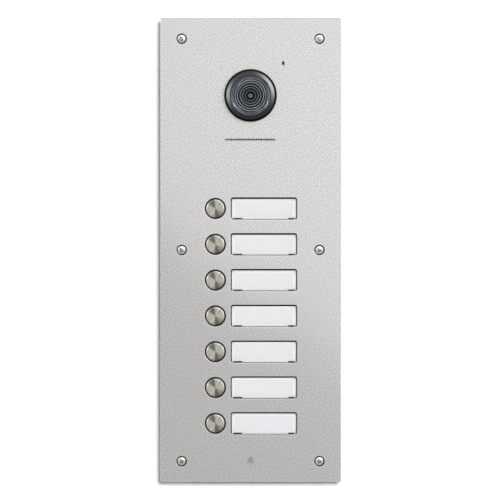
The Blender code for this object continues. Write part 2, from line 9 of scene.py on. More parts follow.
import bmesh
import bpy
from mathutils import Matrix, Quaternion, Vector
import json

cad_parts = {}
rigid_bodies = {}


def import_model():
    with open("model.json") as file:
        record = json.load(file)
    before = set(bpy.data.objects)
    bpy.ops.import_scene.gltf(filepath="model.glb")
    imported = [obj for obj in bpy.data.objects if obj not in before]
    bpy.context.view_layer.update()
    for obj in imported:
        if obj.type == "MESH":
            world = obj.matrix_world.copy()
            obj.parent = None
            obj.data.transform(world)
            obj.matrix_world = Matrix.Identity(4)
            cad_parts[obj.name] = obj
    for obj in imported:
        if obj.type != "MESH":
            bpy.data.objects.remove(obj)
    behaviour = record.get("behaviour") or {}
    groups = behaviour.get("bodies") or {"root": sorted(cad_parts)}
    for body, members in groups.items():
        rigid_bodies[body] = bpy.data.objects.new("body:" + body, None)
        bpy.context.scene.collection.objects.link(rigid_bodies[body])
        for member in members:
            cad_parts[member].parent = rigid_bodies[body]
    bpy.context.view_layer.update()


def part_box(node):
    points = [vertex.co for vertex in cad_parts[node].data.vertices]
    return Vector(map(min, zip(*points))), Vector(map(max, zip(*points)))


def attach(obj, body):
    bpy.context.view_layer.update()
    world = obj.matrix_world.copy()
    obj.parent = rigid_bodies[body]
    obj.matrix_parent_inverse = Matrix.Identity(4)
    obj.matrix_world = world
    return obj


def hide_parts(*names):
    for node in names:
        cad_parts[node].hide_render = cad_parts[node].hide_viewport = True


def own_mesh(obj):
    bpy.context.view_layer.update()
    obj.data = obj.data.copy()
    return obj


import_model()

MM = 0.001
ROWS = range(1, 8)
PANEL = "panel"
PLATE_LOW, PLATE_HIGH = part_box("front_plate")
FACE_Y = PLATE_LOW.y
BOX_BACK = (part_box("back_box")[1].y - FACE_Y) / MM
PLATE_W = (PLATE_HIGH.x - PLATE_LOW.x) / MM
PLATE_H = (PLATE_HIGH.z - PLATE_LOW.z) / MM
PLATE_T = 2.5
SEAT_DEPTH = 1.6
WINDOW_X, WINDOW_W, WINDOW_H, WINDOW_R = 10.4, 51.8, 17.4, 2.0
GRILLE_X, GRILLE_Z, GRILLE_HOLES, GRILLE_PITCH, GRILLE_HOLE_R = -0.35, 85.7, 20, 1.96, 0.86
BAFFLE_R = 12.8
BOARD_T, SOCKET_H = 1.6, 6.0
ROW_BOARD, MAIN_BOARD = 12.3, 32.0
STUD_GAP = 13.9
BOX_W, BOX_H, BOX_WALL = 126.0, 346.0, 2.0


# --- places


def centre(node):
    """A CAD node's middle, in millimetres across and up."""
    low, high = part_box(node)
    return (low.x + high.x) / 2 / MM, (low.z + high.z) / 2 / MM


def span(node):
    """A CAD node's middle, width and height, in millimetres."""
    low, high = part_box(node)
    return *centre(node), (high.x - low.x) / MM, (high.z - low.z) / MM


def depths(node):
    """A CAD node's front and back, as depths in millimetres."""
    low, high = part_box(node)
    return (low.y - FACE_Y) / MM, (high.y - FACE_Y) / MM


def label_places():
    """The middles of the labels, which sit a little off the middles of their windows."""
    x, first = centre("name_cover_1")
    drop = first - ROW_PLACES[0][1]
    return [(x, z + drop) for _, z in ROW_PLACES]


ROW_PLACES = [centre(f"button_cap_{i}") for i in ROWS]
WINDOW_PLACES = [(WINDOW_X, z) for _, z in ROW_PLACES]
SCREW_PLACES = [centre(f"fixing_screw_{i}") for i in range(1, 7)]
BETWEEN_ROWS = [ROW_PLACES[i][1] - STUD_GAP for i in (1, 3, 5)]
ROW_ENDS = (ROW_PLACES[0][1] - STUD_GAP, ROW_PLACES[-1][1] + STUD_GAP)
ROW_STUDS = [(x, z) for z in ROW_ENDS for x in (-8.0, 29.0)]
MAIN_STUDS = [(x, z) for z in (154.0, 48.0) for x in (-43.0, 43.0)]


# --- outlines and profiles


def circle(radius, sides, x=0.0, z=0.0):
    turn = 2 * math.pi / sides
    return [(x + radius * math.cos(i * turn), z + radius * math.sin(i * turn)) for i in range(sides)]


def rounded_rectangle(width, height, radius, x=0.0, z=0.0, steps=6):
    points = []
    for corner, (sx, sz) in enumerate(((1, 1), (-1, 1), (-1, -1), (1, -1))):
        middle_x = x + sx * (width / 2 - radius)
        middle_z = z + sz * (height / 2 - radius)
        for i in range(steps + 1):
            angle = math.pi / 2 * (corner + i / steps)
            points.append((middle_x + radius * math.cos(angle), middle_z + radius * math.sin(angle)))
    return points


def round_hole(x, z, radius, sides=48):
    return lambda grow: circle(radius + grow, sides, x, z)


def box_hole(x, z, width, height, radius, steps=6):
    return lambda grow: rounded_rectangle(
        width + 2 * grow, height + 2 * grow, max(radius + grow, 0.05), x, z, steps
    )


def fixed(points):
    """An outline that keeps its size."""
    return lambda grow: points


def straight(front, back):
    return [(0, front), (0, back)]


def eased_edge(front, back, ease, inside=False):
    """(grow, depth) steps down an edge that is rounded at both faces; a hole's edge flares out."""
    out = ease if inside else -ease
    return [
        (out, front), (out * 0.29, front + ease * 0.29), (0.0, front + ease),
        (0.0, back - ease), (out * 0.29, back - ease * 0.29), (out, back),
    ]


def moved(profile, depth):
    return [(radius, depth + step) for radius, step in profile]


def soften(points, radius, closed=True, steps=3):
    """The outline with each corner turned into a small arc."""
    count = len(points)
    made = []
    for i, point in enumerate(points):
        if not closed and i in (0, count - 1):
            made.append(point)
            continue
        corner = Vector(point)
        before = Vector(points[i - 1]) - corner
        after = Vector(points[(i + 1) % count]) - corner
        reach = min(radius, before.length * 0.45, after.length * 0.45)
        start = corner + before.normalized() * reach
        end = corner + after.normalized() * reach
        for k in range(steps + 1):
            t = k / steps
            made.append(tuple(start * (1 - t) ** 2 + corner * 2 * t * (1 - t) + end * t**2))
    return made


def smooth_path(points, steps):
    """Points on a Catmull-Rom curve through the given ones."""
    padded = [Vector(point) for point in (points[0], *points, points[-1])]
    path = []
    for p, q, r, s in zip(padded, padded[1:], padded[2:], padded[3:]):
        for i in range(steps):
            t = i / steps
            bend = (2 * p - 5 * q + 4 * r - s) * t**2 + (3 * q - p - 3 * r + s) * t**3
            path.append(0.5 * (2 * q + (r - p) * t + bend))
    return [*path, padded[-1]]


# --- mesh tools


def finished(bm, name):
    """Makes an object of a bmesh drawn in millimetres as (x, depth, z)."""
    bmesh.ops.recalc_face_normals(bm, faces=bm.faces)
    to_frame = Matrix.Translation((0, FACE_Y, 0)) @ Matrix.Scale(MM, 4)
    bmesh.ops.transform(bm, matrix=to_frame, verts=bm.verts)
    mesh = bpy.data.meshes.new(name)
    bm.to_mesh(mesh)
    bm.free()
    obj = bpy.data.objects.new(name, mesh)
    bpy.context.scene.collection.objects.link(obj)
    return obj


def smooth(obj, angle=32):
    obj.data.shade_smooth()
    obj.data.set_sharp_from_angle(angle=math.radians(angle))
    return obj


def bridge(bm, loops, closed=False):
    """Joins each loop of corners to the next. A corner used twice, on an axis, is counted once."""
    pairs = list(zip(loops, loops[1:]))
    if closed:
        pairs.append((loops[-1], loops[0]))
    for near, far in pairs:
        for i in range(len(near)):
            j = (i + 1) % len(near)
            bm.faces.new(list(dict.fromkeys((near[i], near[j], far[j], far[i]))))


def add_loft(bm, loops):
    """A skin through loops of (x, depth, z), with a face at each end."""
    rings = [[bm.verts.new(spot) for spot in loop] for loop in loops]
    bridge(bm, rings)
    bm.faces.new(rings[0])
    bm.faces.new(rings[-1])


def add_sheet(bm, outline, edge, openings=(), pockets=()):
    """A flat piece: an outline with an edge profile, and openings and pockets, each (outline, profile).

    A pocket starts at the front and is closed at the end of its profile.
    """
    rims = ([], [])
    for number, (shape, profile) in enumerate(((outline, edge), *openings, *pockets)):
        loops = [[bm.verts.new((x, depth, z)) for x, z in shape(grow)] for grow, depth in profile]
        bridge(bm, loops)
        ends = [loops[0], loops[-1]]
        if number > len(openings):
            bm.faces.new(ends.pop())
        for rim, loop in zip(rims, ends):
            rim += [bm.edges.get((loop[i - 1], loop[i])) for i in range(len(loop))]
    for rim in rims:
        bmesh.ops.triangle_fill(bm, use_beauty=True, use_dissolve=False, edges=rim, normal=(0, 1, 0))


def sheet(name, outline, edge, openings=(), pockets=()):
    bm = bmesh.new()
    add_sheet(bm, outline, edge, openings, pockets)
    return smooth(finished(bm, name))


def solids(name, pieces):
    """Closed pieces as one object, each (outline, profile)."""
    bm = bmesh.new()
    for outline, profile in pieces:
        add_sheet(bm, outline, profile)
    return smooth(finished(bm, name))


def blocks(name, sizes, ease=0.15, corner=0.2, steps=2):
    """Blocks with eased edges, each (x, z, width, height, front, back)."""
    return solids(name, [
        (box_hole(x, z, width, height, corner, steps), eased_edge(front, back, ease))
        for x, z, width, height, front, back in sizes
    ])


def starts_on_axis(profile):
    return profile[0][0] == 0 and profile[-1][0] == 0


def add_turned(bm, profile, sides, x, z):
    """Spins a profile of (radius, depth). It is a closed ring, or starts and ends on the axis."""
    rings = []
    for radius, depth in profile:
        if radius == 0:
            rings.append([bm.verts.new((x, depth, z))] * sides)
        else:
            rings.append([bm.verts.new((px, depth, pz)) for px, pz in circle(radius, sides, x, z)])
    bridge(bm, rings, closed=not starts_on_axis(profile))


def turned(name, profile, places, sides=64, ease=0.0, angle=32):
    if ease:
        profile = soften(profile, ease, closed=not starts_on_axis(profile))
    bm = bmesh.new()
    for x, z in places:
        add_turned(bm, profile, sides, x, z)
    return smooth(finished(bm, name), angle)


def wire(name, points, radius, sides):
    """A round wire with closed ends through points of (x, depth, z)."""
    loops = []
    across = Vector((0, 1, 0))
    for i, point in enumerate(points):
        ahead = Vector(points[min(i + 1, len(points) - 1)]) - Vector(points[max(i - 1, 0)])
        ahead.normalize()
        side = across - ahead * across.dot(ahead)
        if side.length < 0.1:
            side = Vector((1, 0, 0)) - ahead * ahead.x
        across = side.normalized()
        other = ahead.cross(across)
        loops.append([Vector(point) + across * a + other * b for a, b in circle(radius, sides)])
    bm = bmesh.new()
    add_loft(bm, loops)
    return smooth(finished(bm, name), 50)


def boolean(base, tool, operation="DIFFERENCE"):
    """Applies a boolean to base and removes the tool."""
    modifier = base.modifiers.new("boolean", "BOOLEAN")
    modifier.solver = "EXACT"
    modifier.operation = operation
    modifier.use_self = operation == "UNION"
    modifier.object = tool
    graph = bpy.context.evaluated_depsgraph_get()
    mesh = bpy.data.meshes.new_from_object(base.evaluated_get(graph), depsgraph=graph)
    base.modifiers.clear()
    base.data = mesh
    bpy.data.objects.remove(tool)
    return smooth(base)


def repeated(piece, name, places):
    """The piece at the first place and a copy at each other one, numbered and sharing its mesh."""
    piece.name = f"{name}_1"
    made = [piece]
    for number, (x, z) in enumerate(places[1:], 2):
        copy = bpy.data.objects.new(f"{name}_{number}", piece.data)
        copy.location = ((x - places[0][0]) * MM, 0, (z - places[0][1]) * MM)
        bpy.context.scene.collection.objects.link(copy)
        made.append(copy)
    return made


def show(obj, look, body=PANEL, nodes=(), flat=False):
    """Gives a piece its material, the body that it moves with and the CAD nodes it stands for.

    A flat piece's eased edges are shaded to run smoothly into its faces.
    """
    obj.data.materials.clear()
    obj.data.materials.append(look)
    if flat:
        even = obj.modifiers.new("even_shading", "WEIGHTED_NORMAL")
        even.keep_sharp = True
    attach(obj, body)
    if nodes:
        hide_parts(*nodes)


def spin(name, profile, place, look, node, sides=96, ease=0.0, angle=32):
    """Shows a turned piece that stands for one CAD node."""
    show(turned(name, profile, [place], sides, ease, angle), look, nodes=[node])


def second_look(obj, look, chosen):
    """Gives the faces whose middles are chosen, by (x, depth, z) in millimetres, another material."""
    obj.data.materials.append(look)
    for face in obj.data.polygons:
        x, y, z = face.center
        if chosen(x / MM, (y - FACE_Y) / MM, z / MM):
            face.material_index = 1


# --- materials


def scaled(colour, factor):
    return tuple(part * factor for part in colour)


def opaque(colour):
    """A colour with its alpha; a socket is passed on."""
    return colour if isinstance(colour, bpy.types.NodeSocket) else (*colour, 1.0)


def tint(ramp, stops):
    """Sets a colour ramp's stops, each (position, colour)."""
    while len(ramp.elements) > 1:
        ramp.elements.remove(ramp.elements[-1])
    ramp.elements[0].position = stops[0][0]
    ramp.elements[0].color = opaque(stops[0][1])
    for position, colour in stops[1:]:
        ramp.elements.new(position).color = opaque(colour)


class Shader:
    """A material's node tree, built one node at a time. Inputs take values or sockets."""

    def __init__(self, name, tree=None):
        if tree is None:
            self.material = bpy.data.materials.new(name)
            self.material.use_nodes = True
            tree = self.material.node_tree
        self.tree = tree
        self.tree.nodes.clear()

    def add(self, kind, inputs=None, **settings):
        node = self.tree.nodes.new("ShaderNode" + kind)
        for key, value in settings.items():
            setattr(node, key, value)
        for key, value in (inputs or {}).items():
            if isinstance(value, bpy.types.NodeSocket):
                self.tree.links.new(value, node.inputs[key])
            else:
                node.inputs[key].default_value = value
        return node

    def place(self, output="Object"):
        return self.add("TexCoord").outputs[output]

    def split(self, vector):
        return self.add("SeparateXYZ", {"Vector": vector}).outputs

    def calculate(self, operation, *values):
        return self.add("Math", dict(enumerate(values)), operation=operation).outputs[0]

    def from_middle(self):
        """The place across the piece, in shares of its size, and its distance from the middle."""
        place = self.add("Mapping", {"Vector": self.place("Generated"), "Location": (-0.5, -0.5, -0.5)})
        axes = self.split(place.outputs[0])
        flat = self.add("CombineXYZ", {"X": axes["X"], "Y": axes["Z"]}).outputs[0]
        return flat, self.add("VectorMath", {0: flat}, operation="LENGTH").outputs["Value"]

    def noise(self, scale, detail=3.0, roughness=0.5, vector=None, stretch=None):
        vector = vector or self.place()
        if stretch:
            vector = self.add("Mapping", {"Vector": vector, "Scale": stretch}).outputs[0]
        inputs = {"Vector": vector, "Scale": scale, "Detail": detail, "Roughness": roughness}
        return self.add("TexNoise", inputs).outputs["Fac"]

    def rings(self, radius, scale):
        """Noise that changes only with the radius."""
        return self.noise(scale, 2.0, 0.6, vector=self.add("CombineXYZ", {"X": radius}).outputs[0])

    def mix(self, factor, low, high):
        inputs = {0: factor, 6: opaque(low), 7: opaque(high)}
        return self.add("Mix", inputs, data_type="RGBA").outputs[2]

    def remap(self, value, low, high, start=0.0, end=1.0):
        inputs = {"Value": value, "From Min": start, "From Max": end, "To Min": low, "To Max": high}
        return self.add("MapRange", inputs).outputs[0]

    def bump(self, height, distance, strength=1.0):
        return self.add("Bump", {"Height": height, "Distance": distance, "Strength": strength}).outputs[0]

    def end(self, shader, output="OutputMaterial"):
        self.tree.links.new(shader.outputs[0], self.add(output).inputs[0])

    def blend(self, amount, first, second):
        """The material made of two shaders."""
        self.end(self.add("MixShader", {0: amount, 1: first.outputs[0], 2: second.outputs[0]}))
        return self.material

    def finish(self, **inputs):
        """The Principled shader; an underscore in a name stands for a space."""
        self.end(self.add("BsdfPrincipled", {key.replace("_", " "): inputs[key] for key in inputs}))
        return self.material


def satin_steel():
    """Satin-ground sheet with a soft mottle and painted light and shade: eased edges painted near white as a
    highlight, outline edges facing left and down painted white and those facing right and up painted dark,
    and faces deeper than half a millimetre, such as cut walls, seats and the back, painted dark as shade.
    """
    s = Shader("satin_steel")
    grain, roughness, edge_reach = 1000.0, 0.27, 0.6
    dark, pale = (0.535, 0.531, 0.519), (0.60, 0.596, 0.583)
    mottle = s.noise(grain, 4.0, 0.65)
    cloud = s.noise(grain / 14, 3.0, 0.5)
    tone = s.mix(s.remap(cloud, 0.0, 0.3), s.mix(mottle, dark, pale), pale)
    place = s.split(s.place())
    lean = s.split(s.add("NewGeometry").outputs["True Normal"])
    # Faces that tilt away from the front, the eased edges, are painted near white: a painted highlight.
    eased = s.remap(s.calculate("ABSOLUTE", lean["Y"]), 1.0, 0.0, 0.93, 0.99)
    tone = s.mix(eased, tone, (0.97, 0.965, 0.95))
    # On the plate's outline, edges facing left and down get a painted highlight and edges facing right and
    # up a painted shade.
    painted_edge_light = s.remap(s.calculate("ADD", lean["X"], lean["Z"]), 1.0, 0.0, -0.5, 0.5)
    outline = s.mix(painted_edge_light, (0.24, 0.24, 0.235), (1.0, 1.0, 0.98))
    reach_x, reach_z = s.calculate("ABSOLUTE", place["X"]), s.calculate("ABSOLUTE", place["Z"])
    beside = s.calculate("GREATER_THAN", reach_x, (PLATE_W / 2 - edge_reach) * MM)
    above = s.calculate("GREATER_THAN", reach_z, (PLATE_H / 2 - edge_reach) * MM)
    edge = s.calculate("MULTIPLY", s.calculate("MAXIMUM", beside, above), eased)
    tone = s.mix(edge, tone, outline)
    # Everything deeper than about half a millimetre, hole walls, seats and the back, is painted dark as
    # shade.
    sunk = s.remap(place["Y"], 0.0, 1.0, FACE_Y + 0.1 * MM, FACE_Y + 0.45 * MM)
    tone = s.mix(sunk, tone, (0.20, 0.195, 0.185))
    rough = s.remap(mottle, roughness - 0.008, roughness + 0.014)
    normal = s.bump(s.noise(grain * 3.2, 2.0), 0.000001, 0.6)
    return s.finish(Base_Color=tone, Metallic=0.65, Roughness=rough, Normal=normal)


def spun_steel():
    """Steel faced on a lathe: fine rings, and a painted sheen: bright streaks and dark wedges of reflection,
    painted as colour by angle around the centre.
    """
    s = Shader("spun_steel")
    ring = s.add("Tangent", direction_type="RADIAL", axis="Y").outputs[0]
    flat, radius = s.from_middle()
    groove = s.rings(radius, 150.0)
    turned_round = s.add("VectorMath", {0: flat, 1: (-1.0, -1.0, 0.0)}, operation="MULTIPLY").outputs[0]
    sweep = s.add("TexGradient", {"Vector": turned_round}, gradient_type="RADIAL").outputs["Fac"]
    # Painted reflection: the bright streaks and dark wedges are colour stops by angle around the cap.
    painted_sheen_ramp = s.add("ValToRGB", {"Fac": sweep})
    pale, tan, painted_beam, dark = (0.73, 0.73, 0.62), (0.79, 0.695, 0.59), (0.95, 0.99, 1.0), (0.165, 0.19, 0.172)
    sheen = (
        (0, pale), (35, pale), (48, (0.52, 0.595, 0.545)), (56, (0.55, 0.60, 0.56)), (59, painted_beam),
        (63, painted_beam), (66, (0.715, 0.715, 0.633)), (84, (0.70, 0.69, 0.62)), (90, (0.60, 0.52, 0.475)),
        (97, (0.58, 0.51, 0.47)), (101, dark), (112, dark), (132, (0.27, 0.26, 0.22)),
        (146, (0.42, 0.38, 0.33)), (154, tan), (200, tan), (228, (0.78, 0.72, 0.64)), (233, painted_beam),
        (238, painted_beam), (242, (0.67, 0.67, 0.57)), (264, (0.64, 0.64, 0.55)), (269, dark), (290, dark),
        (301, (0.24, 0.24, 0.21)), (308, (0.475, 0.393, 0.347)), (330, (0.52, 0.44, 0.39)),
        (341, (0.70, 0.69, 0.59)), (360, pale),
    )
    tint(painted_sheen_ramp.color_ramp, [(degrees / 360, colour) for degrees, colour in sheen])
    tone = s.mix(s.remap(groove, 0.0, 0.12), painted_sheen_ramp.outputs[0], (0.72, 0.70, 0.66))
    return s.finish(
        Base_Color=tone, Metallic=1.0, Roughness=0.36, Anisotropic=0.75, Tangent=ring,
        Normal=s.bump(groove, 0.00002, 0.35),
    )


def polished_steel(name, tone, roughness):
    s = Shader(name)
    wear_and_highlight = s.noise(1400.0, 3.0)
    return s.finish(
        Base_Color=s.mix(wear_and_highlight, tone, scaled(tone, 1.12)), Metallic=1.0,
        Roughness=s.remap(wear_and_highlight, roughness * 0.7, roughness * 1.5),
        Normal=s.bump(s.noise(2600.0, 2.0), 0.000004, 0.4),
    )


def moulded(name, colour, roughness, grain=2200.0):
    """Injection-moulded plastic with a fine spark-eroded texture."""
    s = Shader(name)
    speckle = s.noise(grain, 3.0, 0.6)
    patch = s.remap(s.noise(60.0, 2.0), 0.1, 0.9)
    return s.finish(
        Base_Color=s.mix(patch, scaled(colour, 0.88), scaled(colour, 1.1)),
        Roughness=s.remap(speckle, roughness - 0.08, roughness + 0.1),
        Normal=s.bump(speckle, 0.00003, 0.5),
    )


def rubber(name, colour, cell=1500.0):
    """Closed-cell rubber or flock, with tiny pores."""
    s = Shader(name)
    pores = s.add("TexVoronoi", {"Vector": s.place(), "Scale": cell}).outputs["Distance"]
    return s.finish(
        Base_Color=s.mix(pores, scaled(colour, 0.6), scaled(colour, 1.3)), Roughness=0.85,
        Specular_IOR_Level=0.12, Normal=s.bump(pores, 0.00008, 0.5),
    )


def anodised():
    """Black anodised metal with fine turning rings, an outer rim painted dull black as shade, a band painted
    darker as shade by the dome, and a pale ring by the dome.
    """
    s = Shader("black_anodised")
    ring = s.add("Tangent", direction_type="RADIAL", axis="Y").outputs[0]
    radius = s.from_middle()[1]
    groove = s.rings(radius, 210.0)
    # The outer rim is painted near black: painted shade on its steep wall.
    rim = s.remap(radius, 0.0, 1.0, 0.458, 0.464)
    tone = s.mix(groove, (0.035, 0.035, 0.038), (0.085, 0.085, 0.09))
    tone = s.mix(rim, tone, (0.003, 0.003, 0.003))
    # A band just outside the dome's seat is painted darker: painted shade in the gap by the dome.
    tone = s.mix(s.remap(radius, 1.0, 0.0, 0.347, 0.356), tone, (0.02, 0.021, 0.023))
    tone = s.mix(s.remap(radius, 1.0, 0.0, 0.339, 0.343), tone, (0.28, 0.32, 0.36))
    return s.finish(
        Base_Color=tone, Metallic=1.0, Roughness=s.remap(rim, 0.36, 0.7), Anisotropic=0.5,
        Tangent=ring, Normal=s.bump(groove, 0.00003, 0.3), Specular_IOR_Level=0.05,
    )


def clear(name, colour, roughness, ior):
    """A clear plastic or glass skin that doesn't bend what is seen through it."""
    s = Shader(name)
    haze = s.noise(400.0, 2.0)
    rough = s.remap(haze, roughness, roughness * 2)
    gloss = s.add("BsdfGlossy", {"Color": (1.0, 1.0, 1.0, 1.0), "Roughness": rough})
    through = s.add("BsdfTransparent", {"Color": s.mix(haze, colour, (1.0, 1.0, 1.0))})
    return s.blend(s.add("Fresnel", {"IOR": ior}).outputs[0], through, gloss)


def glass(name, colour):
    s = Shader(name)
    film = s.add("LayerWeight", {"Blend": 0.35}).outputs["Facing"]
    tone = s.mix(film, colour, scaled(colour, 0.8))
    return s.finish(Base_Color=tone, Roughness=0.0, IOR=1.5, Transmission_Weight=1.0)


def circuit_board():
    """Green solder mask over copper tracks, with tinned pads."""
    s = Shader("circuit_board")
    place = s.place()
    cell = {"Vector": place, "Scale": 260.0, "Randomness": 0.25}
    cells = s.add("TexVoronoi", cell, feature="DISTANCE_TO_EDGE").outputs["Distance"]
    tracks = s.remap(cells, 1.0, 0.0, 0.03, 0.05)
    dots = s.add("TexVoronoi", {"Vector": place, "Scale": 420.0, "Randomness": 0.6}).outputs["Distance"]
    pads = s.remap(dots, 1.0, 0.0, 0.16, 0.19)
    mask = s.mix(s.noise(3000.0, 2.0), (0.008, 0.075, 0.030), (0.014, 0.11, 0.045))
    tone = s.mix(pads, s.mix(tracks, mask, (0.03, 0.19, 0.07)), (0.62, 0.62, 0.58))
    normal = s.bump(s.calculate("MAXIMUM", tracks, pads), 0.00003, 0.6)
    return s.finish(Base_Color=tone, Metallic=pads, Roughness=s.remap(pads, 0.28, 0.35), Normal=normal)


def wound_steel(name, tone, roughness):
    """Drawn wire or pressed steel with faint lines along it."""
    s = Shader(name)
    lines = s.noise(1600.0, 3.0, 0.6, stretch=(1.0, 0.15, 1.0))
    return s.finish(
        Base_Color=s.mix(lines, scaled(tone, 0.8), scaled(tone, 1.15)), Metallic=1.0,
        Roughness=s.remap(lines, roughness * 0.8, roughness * 1.3), Normal=s.bump(lines, 0.00001, 0.4),
    )


def cone_paper():
    """Pressed speaker paper, fibrous and a little blotchy."""
    s = Shader("cone_paper")
    fibre = s.noise(2400.0, 5.0, 0.7)
    cloud = s.remap(s.noise(160.0, 3.0), 0.0, 0.4)
    tone = s.mix(cloud, s.mix(fibre, (0.022, 0.021, 0.020), (0.055, 0.052, 0.048)), (0.03, 0.029, 0.027))
    return s.finish(Base_Color=tone, Roughness=0.9, Normal=s.bump(fibre, 0.00006, 0.5))


def ribbon():
    """Grey flat cable: conductors side by side, with a stripe on the first."""
    s = Shader("ribbon")
    across = s.split(s.place())["X"]
    wave = s.calculate("COSINE", s.calculate("MULTIPLY", across, 2 * math.pi / (1.0 * MM)))
    ridge = s.remap(wave, 0.0, 1.0, -1.0, 1.0)
    tone = s.mix(ridge, (0.20, 0.20, 0.205), (0.44, 0.44, 0.45))
    tone = s.mix(s.remap(across, 1.0, 0.0, -7.05 * MM, -6.95 * MM), tone, (0.42, 0.03, 0.03))
    tone = s.mix(s.remap(s.noise(1500.0, 2.0), 0.0, 0.15), tone, (0.3, 0.3, 0.3))
    return s.finish(Base_Color=tone, Roughness=0.5, Normal=s.bump(ridge, 0.0002, 0.6))


def paper(name, colour, glow):
    """Uncoated label stock with fibres. It glows by the given amount: on the labels and the diffuser this
    glow is painted light standing in for the name lamps behind them.
    """
    s = Shader(name)
    fibre = s.noise(1800.0, 5.0, 0.7, stretch=(1.0, 1.0, 3.0))
    tone = s.mix(s.remap(s.noise(90.0, 2.0), 0.0, 0.6), colour, scaled(colour, 0.975))
    tone = s.mix(s.remap(fibre, 0.0, 0.35), tone, scaled(colour, 0.94))
    return s.finish(
        Base_Color=tone, Roughness=0.75, Normal=s.bump(fibre, 0.00002, 0.3),
        Emission_Color=tone, Emission_Strength=glow,
    )


def slate_baffle():
    """A black moulding with a painted highlight of satin grey on each ridge, each given as (radius, share of
    the highlight).
    """
    s = Shader("slate_baffle")
    valley, painted_highlight, width = (0.008, 0.010, 0.012), (0.86, 0.93, 1.0), 0.022
    stops = [(0.0, valley)]
    # Each ridge gets a painted highlight over the black moulding.
    for ridge, wear_and_highlight in ((3.9, 0.6), (6.1, 0.75), (8.0, 1.0), (10.1, 1.0), (11.9, 1.0)):
        at = ridge / BAFFLE_R
        top = tuple(v + (c - v) * wear_and_highlight for v, c in zip(valley, painted_highlight))
        stops += [(at - width, valley), (at, top), (at + width * 0.6, top), (at + width, valley)]
    ramp = s.add("ValToRGB", {"Fac": s.remap(s.from_middle()[1], 0.0, 1.0, 0.0, 0.5)})
    tint(ramp.color_ramp, stops)
    speckle = s.noise(2600.0, 2.0)
    tone = s.mix(s.remap(speckle, 0.0, 0.3), ramp.outputs[0], valley)
    return s.finish(Base_Color=tone, Roughness=0.32, Normal=s.bump(speckle, 0.00001, 0.3))


# --- front plate and its screws


def front_plate(material, hole_shade):
    """The steel plate. Every edge of it is eased, and each screw has a seat sunk in it."""
    ease, seat_r, bore_r = 0.3, 4.15, 2.35
    hole = eased_edge(0.0, PLATE_T, ease, inside=True)
    small = eased_edge(0.0, PLATE_T, 0.12, inside=True)
    tiny = eased_edge(0.0, PLATE_T, 0.05, inside=True)
    seat = [(ease, 0.0), (ease * 0.29, ease * 0.29), (0.0, ease), (0.0, SEAT_DEPTH)]
    seat += [(bore_r - seat_r, SEAT_DEPTH), (bore_r - seat_r, PLATE_T)]
    mic_x, mic_z = centre("microphone_boot")
    mic_w, mic_h = 1.9, 3.3
    first = GRILLE_X - GRILLE_PITCH * (GRILLE_HOLES - 1) / 2
    grille = [first + GRILLE_PITCH * i for i in range(GRILLE_HOLES)]
    openings = [(round_hole(*centre("camera_bezel"), 17.0, 96), hole)]
    openings += [(round_hole(*place, seat_r), seat) for place in SCREW_PLACES]
    openings += [(round_hole(x, GRILLE_Z, GRILLE_HOLE_R, 20), tiny) for x in grille]
    openings += [(round_hole(*place, 8.3, 72), hole) for place in ROW_PLACES]
    openings += [(box_hole(*place, WINDOW_W, WINDOW_H, WINDOW_R), hole) for place in WINDOW_PLACES]
    openings.append((box_hole(mic_x, mic_z, mic_w, mic_h, 0.94), small))
    etched = straight(0.0, 0.3)
    marks = (
        fixed(bell_outline(0.0, -163.2)),
        fixed(circle(0.55, 20, 0.0, -166.35)),
        box_hole(mic_x + 0.6, mic_z - 3.15, 0.6, 1.7, 0.2, 3),
    )
    outer = box_hole(0.0, 0.0, PLATE_W, PLATE_H, 1.0)
    pockets = [(mark, etched) for mark in marks]
    plate = sheet("steel_front_plate", outer, eased_edge(0.0, PLATE_T, 0.42), openings, pockets)

    def in_sound_hole(x, depth, z):
        in_grille = abs(x - GRILLE_X) < 20.0 and abs(z - GRILLE_Z) < 0.9
        in_mic_hole = abs(x - mic_x) < 1.0 and abs(z - mic_z) < 1.7
        return 0.1 < depth < PLATE_T - 0.1 and (in_grille or in_mic_hole)

    show(plate, material, nodes=["front_plate"], flat=True)
    # The walls of the sound holes get the black flock: painted shade inside the holes.
    second_look(plate, hole_shade, in_sound_hole)


def bell_outline(x, z):
    """A plain bell, the sign of a door station."""
    half = [(0.45, 2.75), (0.45, 2.35), (1.3, 2.0), (1.75, 1.2)]
    half += [(1.9, -0.4), (2.2, -1.3), (2.9, -1.95), (2.9, -2.35)]
    return [(x + px, z + pz) for px, pz in half] + [(x - px, z + pz) for px, pz in reversed(half)]


